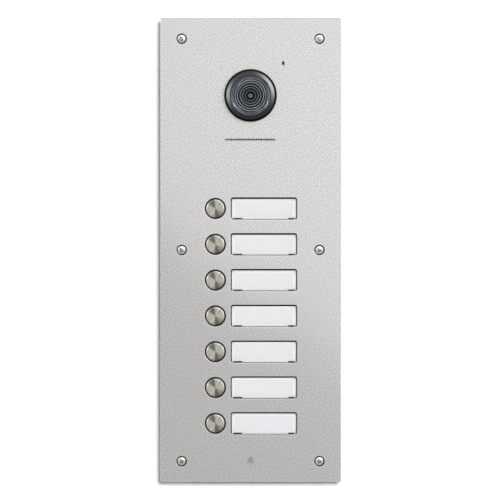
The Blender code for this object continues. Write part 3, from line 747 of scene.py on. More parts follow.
def fixing_screws(material, dark, rubber_look):
    """Low domed screws with a six-lobed recess around a centre pin, each on a washer. The recess is painted
    black as shade; the washer is black rubber, a sealing washer that also puts dark where the seat lies in
    shade.
    """
    front, end = depths("fixing_screw_1")
    x0, z0 = SCREW_PLACES[0]
    profile = moved([(0.0, 0.0), (1.2, 0.02), (2.1, 0.16), (2.8, 0.48), (3.15, 0.85), (3.3, 1.3)], front)
    profile += moved([(3.3, -0.3), (2.0, -0.3), (2.0, 0.5)], SEAT_DEPTH)
    pitch = 0.7
    for i in range(int((end - SEAT_DEPTH - 2.2) / pitch)):
        thread = [(1.98, 0.0), (1.98, 0.12), (1.62, 0.38), (1.62, 0.45)]
        profile += moved(thread, SEAT_DEPTH + 0.6 + i * pitch)
    profile += [(1.5, end - 0.6), (0.9, end), (0.0, end)]
    screw = turned("security_screw_1", profile, [(x0, z0)], angle=40)
    lobes = []
    for i in range(72):
        angle = 2 * math.pi * i / 72
        reach = 1.45 + 0.2 * math.cos(6 * angle)
        lobes.append((x0 + reach * math.cos(angle), z0 + reach * math.sin(angle)))
    screw = boolean(screw, solids("recess", [(fixed(lobes), straight(front - 1.0, front + 1.5))]))
    pin = moved([(0.0, 0.15), (0.35, 0.2), (0.55, 0.45), (0.55, 1.9), (0.0, 1.9)], front)
    screw = boolean(screw, turned("pin", pin, [(x0, z0)], 24), "UNION")
    for i, piece in enumerate(repeated(screw, "security_screw", SCREW_PLACES), 1):
        show(piece, material, nodes=[f"fixing_screw_{i}"])

    def in_recess(x, depth, z):
        return 0.62 < math.hypot(x - x0, z - z0) < 1.7 and front + 0.4 < depth < front + 1.6

    # The recess gets black plastic: painted shade inside it.
    second_look(screw, dark, in_recess)
    # A black washer in each seat: a sealing washer that also puts dark where the seat is in shade.
    washer = moved([(2.15, -0.28), (4.08, -0.28), (4.08, -0.03), (2.15, -0.03)], SEAT_DEPTH)
    show(turned("screw_washers", washer, SCREW_PLACES, 48), rubber_look)


# --- call buttons


def button_caps(material):
    """Spun caps with a bevelled rim, a flange behind the sleeve and a stem."""
    front = depths("button_cap_1")[0]
    profile = moved([(0.0, 0.0), (5.85, 0.0), (6.0, 0.03), (6.95, 0.62), (7.1, 0.85)], front)
    profile += [(7.1, 5.1), (7.9, 5.1), (7.9, 6.1), (1.75, 6.1), (1.75, 8.2), (0.0, 8.2)]
    cap = turned("call_button_cap_1", profile, ROW_PLACES[:1], 96, ease=0.12, angle=24)
    for i, piece in enumerate(repeated(cap, "call_button_cap", ROW_PLACES), 1):
        show(piece, material, f"call_button_{i}", [f"button_cap_{i}"])


def button_carrier(material):
    """The black strip with a sleeve and a cup for each button."""
    front, strip_back = 2.8, 4.8
    back = depths("button_carrier")[1]
    _, middle, width, height = span("button_carrier")
    holes = [(round_hole(x, z, 9.0, 64), straight(front, strip_back)) for x, z in ROW_PLACES]
    outer = box_hole(ROW_PLACES[0][0], middle, width, height, 1.0)
    strip = sheet("button_sleeves", outer, eased_edge(front, strip_back, 0.2), holes)
    sleeve = [(7.4, 0.5), (8.0, 0.5), (8.0, 3.4), (9.8, 3.4)]
    sleeve += [(9.8, back), (8.4, back), (8.4, strip_back), (7.4, strip_back)]
    strip = boolean(strip, turned("sleeves", sleeve, ROW_PLACES, ease=0.15), "UNION")
    show(strip, material, nodes=["button_carrier"], flat=True)


def button_springs(material):
    """Coil springs with closed ends."""
    front, back = depths("button_spring_1")
    x0, z0 = ROW_PLACES[0]
    gauge, radius, per_turn, end_rise = 0.38, 6.3, 40, 0.55
    start, end = front + gauge + 0.02, back - gauge - 0.02
    path = []
    depth, angle = start, 0.0
    for turn_count, rise in ((0.9, end_rise), (2.5, end - start - 2 * end_rise), (0.9, end_rise)):
        steps = round(turn_count * per_turn)
        for _ in range(steps):
            path.append((x0 + radius * math.cos(angle), depth, z0 + radius * math.sin(angle)))
            angle += 2 * math.pi / per_turn
            depth += rise / steps
    spring = wire("return_spring_1", path, gauge, 10)
    for i, piece in enumerate(repeated(spring, "return_spring", ROW_PLACES), 1):
        piece.data = piece.data.copy()
        piece.data.transform(Matrix.Translation(piece.location))
        piece.location = (0, 0, 0)
        show(piece, material, nodes=[f"button_spring_{i}"])
        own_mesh(piece)


# --- name windows


def tray_rim(x, z, label_x, label_z):
    """The outline of the rim in one window: open at the bottom, over the left, top and right."""
    inset, label_half, label_top = 0.3, 25.0, label_z + 8.05
    low, high = z - WINDOW_H / 2 + inset, z + WINDOW_H / 2 - inset
    left, right = x - WINDOW_W / 2 + inset, x + WINDOW_W / 2 - inset
    inner_left, inner_right = label_x - label_half, label_x + label_half
    return [
        (left, low + 1.4), (left + 0.45, low), (inner_left, low), (inner_left, label_top - 1.2),
        (inner_left + 0.35, label_top - 0.35), (inner_left + 1.2, label_top),
        (inner_right - 1.2, label_top), (inner_right - 0.35, label_top - 0.35),
        (inner_right, label_top - 1.2), (inner_right, low), (right - 0.45, low), (right, low + 1.4),
        (right, high - 1.7), (right - 0.5, high - 0.5), (right - 1.7, high),
        (left + 1.7, high), (left + 0.5, high - 0.5), (left, high - 1.7),
    ]


def label_tray(material, dark):
    """The dark tray with a rim around each cover, and a light well behind each label."""
    front, back = depths("label_tray")
    face, ledge_depth = 2.8, 4.7
    well = [(0.02, face), (0.02, ledge_depth), (-2.75, ledge_depth), (-2.75, back)]
    wells = [(box_hole(x, z, 50.0, 16.1, 1.2), well) for x, z in label_places()]
    tray = sheet("label_tray_body", box_hole(*span("label_tray"), 1.0), eased_edge(face, back, 0.25), wells)
    rims = [tray_rim(*window, *label) for window, label in zip(WINDOW_PLACES, label_places())]
    tray = boolean(tray, solids("rims", [(fixed(rim), straight(front, 3.2)) for rim in rims]), "UNION")
    show(tray, material, nodes=["label_tray"], flat=True)
    sills = [z - WINDOW_H / 2 for _, z in WINDOW_PLACES]

    def on_sill(x, depth, z):
        return depth < 3.1 and min(abs(z - sill) for sill in sills) < 1.1

    # The sill faces at the bottom of each window get black plastic: painted shade along the sill.
    second_look(tray, dark, on_sill)


def diffusers(material):
    """White sheets that spread the lamps' light behind the labels."""
    edge = eased_edge(4.45, 4.68, 0.05)
    plates = [(box_hole(x, z, 49.6, 15.7, 1.0), edge) for x, z in label_places()]
    show(solids("light_diffusers", plates), material)


def name_covers(clear_material, paper_material, dark):
    """Clear covers with eased edges and tool notches, each with its label behind it."""
    front, back = depths("name_cover_1")
    places = [centre(f"name_cover_{i}") for i in ROWS]
    x0, z0 = places[0]
    width, height, notch_depth = 49.4, 15.5, 2.6
    edge = [(-0.55, front), (-0.25, front + 0.12), (0.0, front + 0.5), (0.0, back - 0.1), (-0.1, back)]
    cover = sheet("clear_name_cover_1", box_hole(x0, z0, width, height, 1.2), edge)
    cuts = [(box_hole(x0, z0, 47.0, 13.1, 0.5), straight(back - 1.0, back + 1.0))]
    for offset, notch_w in ((-20.15, 6.9), (21.45, 4.8)):
        cuts.append((box_hole(x0 + offset, z0 - height / 2, notch_w, 1.8, 0.3), straight(0.0, notch_depth)))
    cover = boolean(cover, solids("cover_cuts", cuts))
    label_edge = eased_edge(*depths("name_label_1"), 0.05)
    label = sheet("paper_name_label_1", box_hole(x0, z0, 46.4, 12.5, 0.3), label_edge)
    for i, piece in enumerate(repeated(cover, "clear_name_cover", places), 1):
        show(piece, clear_material, f"name_window_{i}", [f"name_cover_{i}"], True)
    for i, piece in enumerate(repeated(label, "paper_name_label", places), 1):
        show(piece, paper_material, f"name_window_{i}", [f"name_label_{i}"], True)

    def on_notch_floor(x, depth, z):
        return abs(depth - notch_depth) < 0.1 and z < z0 - height / 2 + 0.95

    # The floors of the tool notches get black plastic: painted shade in the notches.
    second_look(cover, dark, on_notch_floor)


# --- camera


def camera_front(looks):
    """The bezel and what is seen through its dome: the stepped baffle, the lens and its ring."""
    place = centre("camera_bezel")
    bezel = [
        (20.3, -0.3), (20.4, -0.5), (20.4, -1.5), (20.15, -2.0), (19.5, -2.3), (19.2, -2.35),
        (16.3, -4.05), (15.7, -4.25), (15.2, -4.1), (14.2, -3.1), (13.85, -2.9), (13.8, -1.6),
        (13.2, -1.6), (13.2, 9.0), (16.6, 9.0), (16.6, -0.3),
    ]
    spin("camera_bezel_ring", bezel, place, looks["anodised"], "camera_bezel", 128, 0.12, 28)
    dome = [(0.0, -4.1)]
    dome += [(r, -4.1 + 0.95 * (r / 13.0) ** 2.4) for r in (1.5, 3, 4.5, 6, 7.5, 9, 10.5, 11.5, 12.3)]
    dome += [(12.9, -3.05), (13.25, -2.75), (13.4, -2.4), (13.4, -1.95), (13.2, -1.9), (0.0, -1.9)]
    spin("camera_dome", dome, place, looks["dome"], "camera_window", angle=50)
    baffle = [(BAFFLE_R, 6.2), (BAFFLE_R, -1.35), (12.6, -1.5), (11.0, -1.35), (10.8, -1.2)]
    baffle += [(10.75, -0.7), (10.55, -0.7)]
    lips = ((10.1, -1.45), (8.0, 0.05), (6.1, 1.45), (3.9, 3.0))
    for number, (radius, depth) in enumerate(lips):
        lip = ((0.35, 0.22), (0.12, 0.04), (-0.1, 0.0), (-0.32, 0.14), (-0.45, 0.45))
        baffle += [(radius + out, depth + step) for out, step in lip]
        for _, floor in lips[number + 1:number + 2]:
            baffle += [(radius - 0.6, floor + 0.1), (radius - 1.0, floor + 0.45)]
    baffle.append((3.45, 6.2))
    spin("camera_light_baffle", baffle, place, looks["baffle"], "camera_baffle", angle=40)
    barrel = [(1.75, 5.15), (3.4, 5.15), (3.4, 7.0), (7.0, 7.0), (7.0, 21.1), (5.9, 21.1), (5.9, 9.0)]
    barrel.append((1.75, 9.0))
    spin("lens_barrel", barrel, place, looks["flock"], "camera_barrel", 64, 0.1)
    iris = [(0.7, 5.05), (1.6, 4.95), (1.72, 5.1), (1.72, 5.4), (0.7, 5.4)]
    show(turned("lens_retaining_ring", iris, [place], 48, ease=0.06), looks["iris"])
    lens = [(0.0, 5.45), (0.6, 5.5), (1.2, 5.75), (1.6, 6.3), (1.6, 8.4), (0.0, 8.7)]
    spin("camera_front_lens", lens, place, looks["lens"], "camera_lens", 48, 0.05)


def camera_rear(looks):
    """The ring nut behind the plate, the can, and the board with the image sensor."""
    place = x0, z0 = centre("camera_bezel")
    nut_r = 20.0
    nut = [(16.9, 2.8), (19.6, 2.8), (nut_r, 3.1), (nut_r, 6.0), (19.6, 6.3), (16.9, 6.3)]
    slots = [(round_hole(*spot, 1.1, 16), straight(0.0, 8.0)) for spot in circle(nut_r, 8, x0, z0)]
    nut = boolean(turned("camera_ring_nut", nut, [place], 96, ease=0.1), solids("spanner_slots", slots))
    show(nut, looks["black"], nodes=["camera_nut"])
    can = [
        (13.6, 9.3), (17.6, 9.3), (18.0, 9.7), (18.0, 12.0), (17.8, 12.2), (17.8, 24.5), (18.0, 24.7),
        (18.0, 26.3), (17.3, 27.0), (4.0, 27.0), (4.0, 25.5), (16.5, 25.5), (16.5, 10.8), (13.6, 10.8),
    ]
    spin("camera_rear_can", can, place, looks["black"], "camera_can", ease=0.1)
    front, socket_back = depths("camera_board")
    back = front + BOARD_T
    board = [(0.0, front), (15.8, front), (15.8, back), (0.0, back)]
    spin("camera_circuit_board", board, place, looks["pcb"], "camera_board", 64, 0.08)
    socket = [(x0, z0 - 9.5, 12.0, 5.0, back, socket_back)]
    socket += [(x0 + 1.4 * i - 4.9, z0 - 6.7, 0.5, 0.6, back, front + 2.0) for i in range(8)]
    show(blocks("camera_board_socket", socket, 0.1), looks["ivory"])
    chips = [
        (x0 - 6.5, z0 + 5.5, 6.0, 6.0, back, front + 2.6),
        (x0 + 5.5, z0 + 6.5, 5.0, 4.0, back, front + 2.5),
        (x0 + 8.5, z0 - 1.0, 2.6, 1.6, back, front + 2.3),
        (x0 - 9.5, z0 - 2.5, 2.0, 1.2, back, front + 2.2),
    ]
    show(blocks("camera_board_chips", chips, 0.1), looks["chip"])
    front, back = depths("image_sensor")
    sensor = blocks("image_sensor_body", [(x0, z0, 8.0, 8.0, front, back)], 0.12)
    show(sensor, looks["chip"], nodes=["image_sensor"])
    show(blocks("image_sensor_window", [(x0, z0, 6.6, 6.6, front - 0.35, front)], 0.08), looks["lens"])


# --- sound


def speaker(looks):
    """The speaker behind the grille: seal, open chassis, cone with its roll, and ring magnet."""
    place = x0, z0 = centre("speaker_basket")
    rim_r, seal_r = 25.5, 22.6
    front, back = depths("speaker_gasket")
    seal = [(seal_r, front), (rim_r, front), (rim_r, back), (seal_r, back)]
    spin("speaker_seal", seal, place, looks["gasket"], "speaker_gasket", ease=0.25)
    flange = depths("speaker_basket")[0]
    basket = [
        (seal_r, 0.0), (rim_r, 0.0), (rim_r, 1.5), (23.6, 1.5), (22.9, 2.2), (13.6, 9.1), (13.0, 9.6),
        (13.0, 11.0), (5.0, 11.0), (5.0, 9.8), (12.2, 9.3), (13.0, 8.7), (22.2, 1.9), (seal_r, 1.2),
    ]
    vents = []
    for i in range(6):
        middle = math.pi / 3 * i + math.pi / 6
        corners = ((15.2, -0.27), (20.6, -0.33), (20.6, 0.33), (15.2, 0.27))
        vent = [(x0 + r * math.cos(middle + a), z0 + r * math.sin(middle + a)) for r, a in corners]
        vents.append((fixed(soften(vent, 0.9)), straight(flange, flange + 12.0)))
    chassis = turned("speaker_chassis", moved(basket, flange), [place], 96, ease=0.15)
    chassis = boolean(chassis, solids("chassis_vents", vents))
    show(chassis, looks["zinc"], nodes=["speaker_basket"])
    cone = [
        (0.0, 5.0), (2.0, 5.15), (4.0, 5.8), (5.5, 6.6), (9.0, 5.0), (13.0, 3.1), (17.0, 1.3),
        (19.2, 0.3), (19.7, -0.8), (20.4, -1.15), (21.1, -0.95), (21.6, -0.4), (21.6, 0.2),
        (20.9, -0.35), (20.4, -0.5), (19.9, -0.2), (19.4, 0.9), (13.4, 3.9), (6.0, 7.6),
        (4.4, 7.4), (4.4, 10.4), (3.8, 10.4), (3.8, 6.6), (2.0, 5.95), (0.0, 5.8),
    ]
    cone = moved(cone, flange)
    spin("speaker_cone_and_dome", cone, place, looks["cone"], "speaker_cone", angle=50)
    front, back = depths("speaker_magnet")
    magnet = [
        (0.0, front), (11.6, front), (11.6, front + 0.9), (12.0, front + 1.1), (12.0, back - 1.3),
        (11.4, back - 1.1), (11.4, back), (2.4, back), (2.0, back - 0.6), (0.0, back - 0.6),
    ]
    spin("speaker_ring_magnet", magnet, place, looks["ferrite"], "speaker_magnet", ease=0.12)
    cloth = [(GRILLE_X, GRILLE_Z, 42.0, 4.6, PLATE_T + 0.03, PLATE_T + 0.25)]
    show(blocks("grille_cloth", cloth, 0.05, 1.0, 6), looks["flock"])


def microphone(looks):
    """The microphone capsule in its rubber boot."""
    place = centre("microphone_boot")
    front, back = depths("microphone_boot")
    boot = [
        (1.2, front), (5.0, front), (5.5, front + 1.0), (5.5, front + 2.6), (5.1, front + 3.0),
        (5.1, front + 4.2), (5.5, front + 4.6), (5.5, back), (3.3, back), (3.3, front + 1.2),
        (1.2, front + 1.2),
    ]
    spin("microphone_rubber_boot", boot, place, looks["gasket"], "microphone_boot", 64, 0.2)
    front, back = depths("microphone_capsule")
    capsule = [
        (0.0, front), (0.5, front), (0.5, front + 0.3), (0.9, front + 0.3), (0.9, front), (3.0, front),
        (3.0, back - 0.5), (2.8, back - 0.25), (2.8, back), (2.4, back), (2.4, back - 0.3),
        (0.0, back - 0.3),
    ]
    can = turned("microphone_can", capsule, [place], ease=0.08)
    show(can, looks["zinc"], nodes=["microphone_capsule"])
    second_look(can, looks["flock"], lambda x, depth, z: depth < front + 0.35)


# --- electronics


def legs(name, chips, width, height, back, pitch=1.27):
    """Pins on the two long sides of each chip of (x, z, width, height)."""
    pins = []
    for x, z, chip_w, chip_h in chips:
        count = int(chip_h / pitch) - 1
        for i in range(count):
            at = z + (i - (count - 1) / 2) * pitch
            for side in (-1, 1):
                pins.append((x + side * (chip_w / 2 + 0.55), at, width, height, *back))
    return blocks(name, pins, 0.04, 0.05, 1)


def board(name, outline, front, studs, look, node):
    """A printed circuit board with a hole for each stud."""
    back = front + BOARD_T
    holes = [(round_hole(x, z, 1.9, 32), straight(front, back)) for x, z in studs]
    piece = sheet(name, outline, eased_edge(front, back, 0.1), holes)
    show(piece, look, nodes=[node], flat=True)


def button_board(looks):
    """The board behind the rows: tactile switches under the caps and lamps behind the names."""
    front, back = ROW_BOARD, ROW_BOARD + BOARD_T
    outline = box_hole(*span("button_board"), 1.0)
    board("row_circuit_board", outline, front, ROW_STUDS, looks["pcb"], "button_board")
    cases = [(x, z, 6.0, 6.0, front - 1.9, front - 0.05) for x, z in ROW_PLACES]
    show(blocks("tactile_switch_cases", cases, 0.15, 0.4), looks["zinc"])
    plunger = moved([(0.0, -2.6), (1.5, -2.6), (1.6, -2.5), (1.6, -1.95), (0.0, -1.95)], front)
    show(turned("tactile_switch_plungers", plunger, ROW_PLACES, 32, ease=0.08), looks["black"])
    spots = [(x + side * 13.0, z) for x, z in WINDOW_PLACES for side in (-1, 1)]
    lamps = [(x, z, 3.6, 2.8, front - 1.2, front - 0.05) for x, z in spots]
    show(blocks("name_lamp_bodies", lamps, 0.12, 0.3), looks["ivory"])
    lens = moved([(0.0, -1.5), (0.6, -1.42), (1.0, -1.22), (0.0, -1.22)], front)
    show(turned("name_lamp_lenses", lens, spots, 24), looks["lamp"])
    small = ((12.0, 3.0), (12.0, -3.0), (22.0, 4.0))
    chips = [(x + dx, z + dz, 2.0, 1.2, back, back + 0.6) for x, z in ROW_PLACES for dx, dz in small]
    drivers = [(4.0, z, 9.0, 6.0) for z in BETWEEN_ROWS]
    chips += [(*driver, back, back + 1.6) for driver in drivers]
    show(blocks("row_board_chips", chips, 0.1), looks["chip"])
    socket = [(0.0, 33.0, 20.0, 6.0, back, back + SOCKET_H)]
    show(blocks("row_board_socket", socket, 0.25), looks["ivory"])
    show(legs("row_board_pins", drivers, 0.45, 0.9, (back, back + 0.35)), looks["zinc"])


def main_board(looks):
    """The processor board, with its chips, relay, coil and capacitors towards the wall."""
    front, back = MAIN_BOARD, MAIN_BOARD + BOARD_T
    outline = box_hole(0.0, 101.0, 96.0, 116.0, 2.0)
    board("main_circuit_board", outline, front, MAIN_STUDS, looks["pcb"], "main_board")
    chips = [(-4.0, 106.0, 20.0, 20.0, back, back + 2.2), (23.0, 126.0, 14.0, 12.0, back, back + 1.8)]
    columns, lines = (-40.0, -16.0, 36.0), (62.0, 70.0, 78.0, 119.0)
    chips += [(x, z, 3.2, 1.6, back, back + 0.9) for x in columns for z in lines]
    show(blocks("main_board_chips", chips, 0.2, 0.5), looks["chip"])
    legged = [(-4.0, 106.0, 20.0, 18.0), (23.0, 126.0, 14.0, 11.0)]
    show(legs("main_board_pins", legged, 1.0, 0.5, (back, back + 0.4)), looks["zinc"])
    relay = [(-28.0, 135.5, 20.0, 15.0, back, back + 9.0)]
    show(blocks("door_relay", relay, 0.4, 0.8, 4), looks["relay"])
    coil = [(27.0, 99.0, 22.0, 14.0, back, back + 3.0)]
    show(blocks("power_coil", coil, 0.4, 2.0, 5), looks["ferrite"])
    cans = [(-30.0, 92.0), (-30.0, 106.0), (10.0, 140.0)]
    sleeve = [
        (0.0, 0.0), (4.5, 0.0), (4.5, 1.4), (4.25, 1.7), (4.5, 2.0), (4.5, 9.7),
        (4.2, 10.0), (3.7, 10.0), (3.6, 9.85), (0.0, 9.85),
    ]
    show(turned("capacitor_sleeves", moved(sleeve, back), cans, 48, ease=0.1), looks["sleeve"])
    lid = moved([(0.0, 9.87), (3.5, 9.87), (3.5, 9.95), (0.0, 9.95)], back)
    show(turned("capacitor_lids", lid, cans, 48), looks["zinc"])
    socket = [(0.0, 53.0, 20.0, 6.0, back, back + SOCKET_H)]
    show(blocks("main_board_socket", socket, 0.25), looks["ivory"])


def terminals(looks):
    """The terminal block: a wire entry and a slotted screw for each of its ways."""
    front, back = depths("terminal_block")
    x0, z0 = centre("terminal_block")
    count, pitch = 8, 5.0
    ways = [x0 + pitch * (i - (count - 1) / 2) for i in range(count)]
    edge = eased_edge(front, back, 0.25)
    body = sheet("terminal_housing", box_hole(x0, z0, count * pitch, 9.0, 0.4, 3), edge)
    cuts = []
    for x in ways:
        cuts.append((round_hole(x, z0, 1.7, 32), straight(back - 2.0, back + 1.0)))
        cuts.append((box_hole(x, z0 - 4.0, 3.0, 5.0, 0.3, 3), straight(front + 2.0, front + 5.0)))
    for x in ways[1:]:
        cuts.append((box_hole(x - pitch / 2, z0, 0.35, 10.0, 0.1, 2), straight(back - 0.5, back + 1.0)))
    body = boolean(body, solids("terminal_cuts", cuts))
    show(body, looks["terminal"], nodes=["terminal_block"], flat=True)
    head = moved([(0.0, -1.2), (1.45, -1.2), (1.55, -1.3), (1.55, -1.9), (0.0, -1.9)], back)
    screws = turned("terminal_screws", head, [(x, z0) for x in ways], 32)
    slots = [(box_hole(x, z0, 0.45, 4.0, 0.1, 2), straight(back - 1.6, back + 1.0)) for x in ways]
    show(boolean(screws, solids("slots", slots)), looks["zinc"])


def leads(looks):
    """The ribbon between the boards and the camera's lead."""
    near = ROW_BOARD + BOARD_T + SOCKET_H + 0.3
    far = MAIN_BOARD + BOARD_T + SOCKET_H + 0.3
    stops = [(near + 0.5, 33.0), (near + 8.0, 31.0), (far + 5.0, 34.0), (far + 6.0, 46.0), (far + 0.5, 53.0)]
    route = smooth_path(stops, 16)
    half_width, ribs = 8.0, 32
    skin = [(half_width * (2 * k / ribs - 1), 0.45 if k % 2 else 0.28) for k in range(ribs + 1)]
    skin += [(x, -lift) for x, lift in reversed(skin)]
    loops = []
    for i, (depth, z) in enumerate(route):
        ahead = (route[min(i + 1, len(route) - 1)] - route[max(i - 1, 0)]).normalized()
        loops.append([(x, depth - ahead.y * lift, z + ahead.x * lift) for x, lift in skin])
    bm = bmesh.new()
    add_loft(bm, loops)
    flat_cable = smooth(finished(bm, "board_ribbon"), 60)
    show(flat_cable, looks["ribbon"], nodes=["ribbon_cable"])
    lie = MAIN_BOARD - 1.6
    stops = [(0.0, 27.3, 120.0), (0.0, 29.0, 120.0), (1.5, lie, 116.0)]
    stops += [(12.0, lie, 110.0), (24.0, lie, 112.0)]
    lead = wire("camera_lead", smooth_path(stops, 14), 1.15, 16)
    show(lead, looks["cable"], nodes=["camera_cable"])


# --- wall box


def box_shell(front, rear, floor):
    """The box with its bosses, lugs and cable entry."""
    inside = box_hole(0.0, 0.0, BOX_W - 2 * BOX_WALL, BOX_H - 2 * BOX_WALL, 3.0, 8)
    outside = box_hole(0.0, 0.0, BOX_W, BOX_H, 5.0, 8)
    steps = [(inside, -0.8, floor), (inside, 0.0, floor - 0.8), (inside, 0.0, front), (outside, 0.0, front)]
    steps += [(outside, 0.0, rear - 1.2), (outside, -0.35, rear - 0.35), (outside, -1.2, rear)]
    bm = bmesh.new()
    add_loft(bm, [[(x, depth, z) for x, z in shape(grow)] for shape, grow, depth in steps])
    shell = smooth(finished(bm, "wall_box_shell"))
    bosses = []
    for x, z in SCREW_PLACES:
        web = BOX_W / 2 - 1.0 - abs(x)
        beside = math.copysign(abs(x) + web / 2, x)
        bosses.append((round_hole(x, z, 5.0), straight(front, floor + 1.0)))
        bosses.append((box_hole(beside, z, web, 3.0, 0.1, 1), straight(front, floor + 0.5)))
    shell = boolean(shell, solids("bosses", bosses), "UNION")
    lugs = [(side * 64.5, z, 6.0, 18.0, 17.0, 20.0) for side in (-1, 1) for z in (-100.0, 100.0)]
    shell = boolean(shell, blocks("lugs", lugs, 0.3, 1.2, 4), "UNION")
    bores = [(round_hole(0.0, -120.0, 10.0, 64), straight(floor - 1.0, rear + 1.0))]
    bores += [(round_hole(x, z, 2.35, 32), straight(front - 1.0, 22.0)) for x, z in SCREW_PLACES]
    return boolean(shell, solids("bores", bores))


def wall_box(looks):
    """The box in the wall with its stiffening ribs and knock-outs, its foam rim and its cable bush."""
    front, rear = depths("back_box")
    shell = box_shell(front, rear, rear - BOX_WALL)
    show(shell, looks["box"], nodes=["back_box"], flat=True)
    heights = (150.0, 90.0, 30.0, -30.0, -90.0, -150.0)
    ribs = [(0.0, z, 100.0, 1.4, rear, rear + 0.9) for z in heights]
    ribs += [(x, 0.0, 1.4, 300.0, rear, rear + 0.9) for x in (-50.0, 50.0)]
    show(blocks("wall_box_rear_ribs", ribs, 0.3, 0.5), looks["box"])
    rim = moved([(7.2, 0.0), (8.4, 0.0), (8.2, 0.6), (7.4, 0.6)], rear)
    knock_outs = [(x, z) for x in (-30.0, 30.0) for z in (120.0, 0.0)]
    show(turned("knock_out_rims", rim, knock_outs), looks["box"])
    front, back = depths("plate_gasket")
    gap = [(box_hole(0.0, 0.0, 127.0, 347.0, 5.5), straight(front, back))]
    foam = sheet("rim_foam", box_hole(0.0, 0.0, 138.0, 358.0, 1.0), eased_edge(front, back, 0.3), gap)
    show(foam, looks["gasket"], nodes=["plate_gasket"], flat=True)
    front, back = depths("cable_grommet")
    bush = moved([(5.0, 0.0), (6.2, 0.0), (11.4, 1.3), (12.0, 1.9), (12.0, 3.0), (9.7, 3.0)], front)
    bush += moved([(9.7, 0.0), (8.6, 0.0), (8.2, -0.5), (6.4, -0.5), (6.0, 0.0), (5.0, 0.0)], back)
    place = centre("cable_grommet")
    spin("cable_bush", bush, place, looks["gasket"], "cable_grommet", 64, 0.15)


def plate_studs(look):
    """The studs welded to the back of the plate, with a nut on each."""
    studs = bmesh.new()
    nuts = []
    for places, back in ((ROW_STUDS, ROW_BOARD + BOARD_T), (MAIN_STUDS, MAIN_BOARD + BOARD_T)):
        profile = moved([(0.0, 0.02), (2.3, 0.02), (2.3, 0.25), (1.5, 0.5)], PLATE_T)
        for i in range(8):
            profile += moved([(1.5, 0.0), (1.3, 0.25), (1.5, 0.5)], back - 1.5 + 0.5 * i)
        profile += [(1.2, back + 3.0), (0.0, back + 3.0)]
        for x, z in places:
            add_turned(studs, profile, 32, x, z)
            nuts.append((x, z, straight(back + 0.05, back + 2.2)))
    bm = bmesh.new()
    for x, z, faces in nuts:
        add_sheet(bm, fixed(circle(2.9, 6, x, z)), faces, [(round_hole(x, z, 1.56, 24), faces)])
    show(smooth(finished(studs, "plate_studs")), look)
    show(smooth(finished(bm, "stud_nuts")), look)


# --- studio


def world():
    """A bright room: pale above and darker below. The camera sees it as plain white."""
    scene = bpy.context.scene
    scene.world = bpy.data.worlds.new("studio")
    scene.world.use_nodes = True
    s = Shader("studio", scene.world.node_tree)
    height = s.remap(s.split(s.place("Generated"))["Z"], 0.0, 1.0, -1.0, 1.0)
    rise = s.add("ValToRGB", {"Fac": height})
    greys = ((0.0, 0.45), (0.35, 0.5), (0.5, 0.59), (0.65, 0.72), (1.0, 1.0))
    tint(rise.color_ramp, [(position, (grey, grey, grey)) for position, grey in greys])
    seen = s.add("LightPath").outputs["Is Camera Ray"]
    colour = s.mix(seen, rise.outputs[0], (1.0, 1.0, 1.0))
    s.end(s.add("Background", {"Color": colour, "Strength": 1.0}), "OutputWorld")


def area_light(name, place, target, size, power, only=(), roll=0.0):
    """A softbox. With `only`, it lights just those objects, as a flag would in a studio."""
    light = bpy.data.lights.new(name, "AREA")
    light.shape = "RECTANGLE"
    light.size, light.size_y = size
    light.energy = power
    obj = bpy.data.objects.new(name, light)
    obj.location = place
    aim = (Vector(target) - Vector(place)).to_track_quat("-Z", "Y")
    obj.rotation_euler = (aim @ Quaternion((0, 0, 1), math.radians(roll))).to_euler()
    obj.visible_camera = False
    bpy.context.scene.collection.objects.link(obj)
    if only:
        group = bpy.data.collections.new(name + "_lights")
        for lit in only:
            group.objects.link(lit)
        obj.light_linking.receiver_collection = group


def backdrop():
    """A pale wall around the rear of the box. It has no back, so it never hides the panel from behind."""
    bm = bmesh.new()
    depth = BOX_BACK - 2.0
    loops = (rounded_rectangle(3000.0, 2000.0, 10.0, 0.0, 400.0), rounded_rectangle(126.4, 346.4, 5.2))
    rims = [[bm.verts.new((x, depth, z)) for x, z in loop] for loop in loops]
    edges = [bm.edges.new((rim[i - 1], rim[i])) for rim in rims for i in range(len(rim))]
    bmesh.ops.triangle_fill(bm, use_beauty=True, use_dissolve=False, edges=edges, normal=(0, -1, 0))
    obj = finished(bm, "studio_wall")
    if obj.data.polygons[0].normal.y > 0:
        obj.data.flip_normals()
    s = Shader("white_wall")
    tone = s.mix(s.noise(20.0, 3.0), (0.16, 0.16, 0.16), (0.17, 0.17, 0.17))
    paint, hidden = s.add("BsdfDiffuse", {"Color": tone}), s.add("BsdfTransparent")
    obj.data.materials.append(s.blend(s.add("NewGeometry").outputs["Backfacing"], paint, hidden))
    return obj


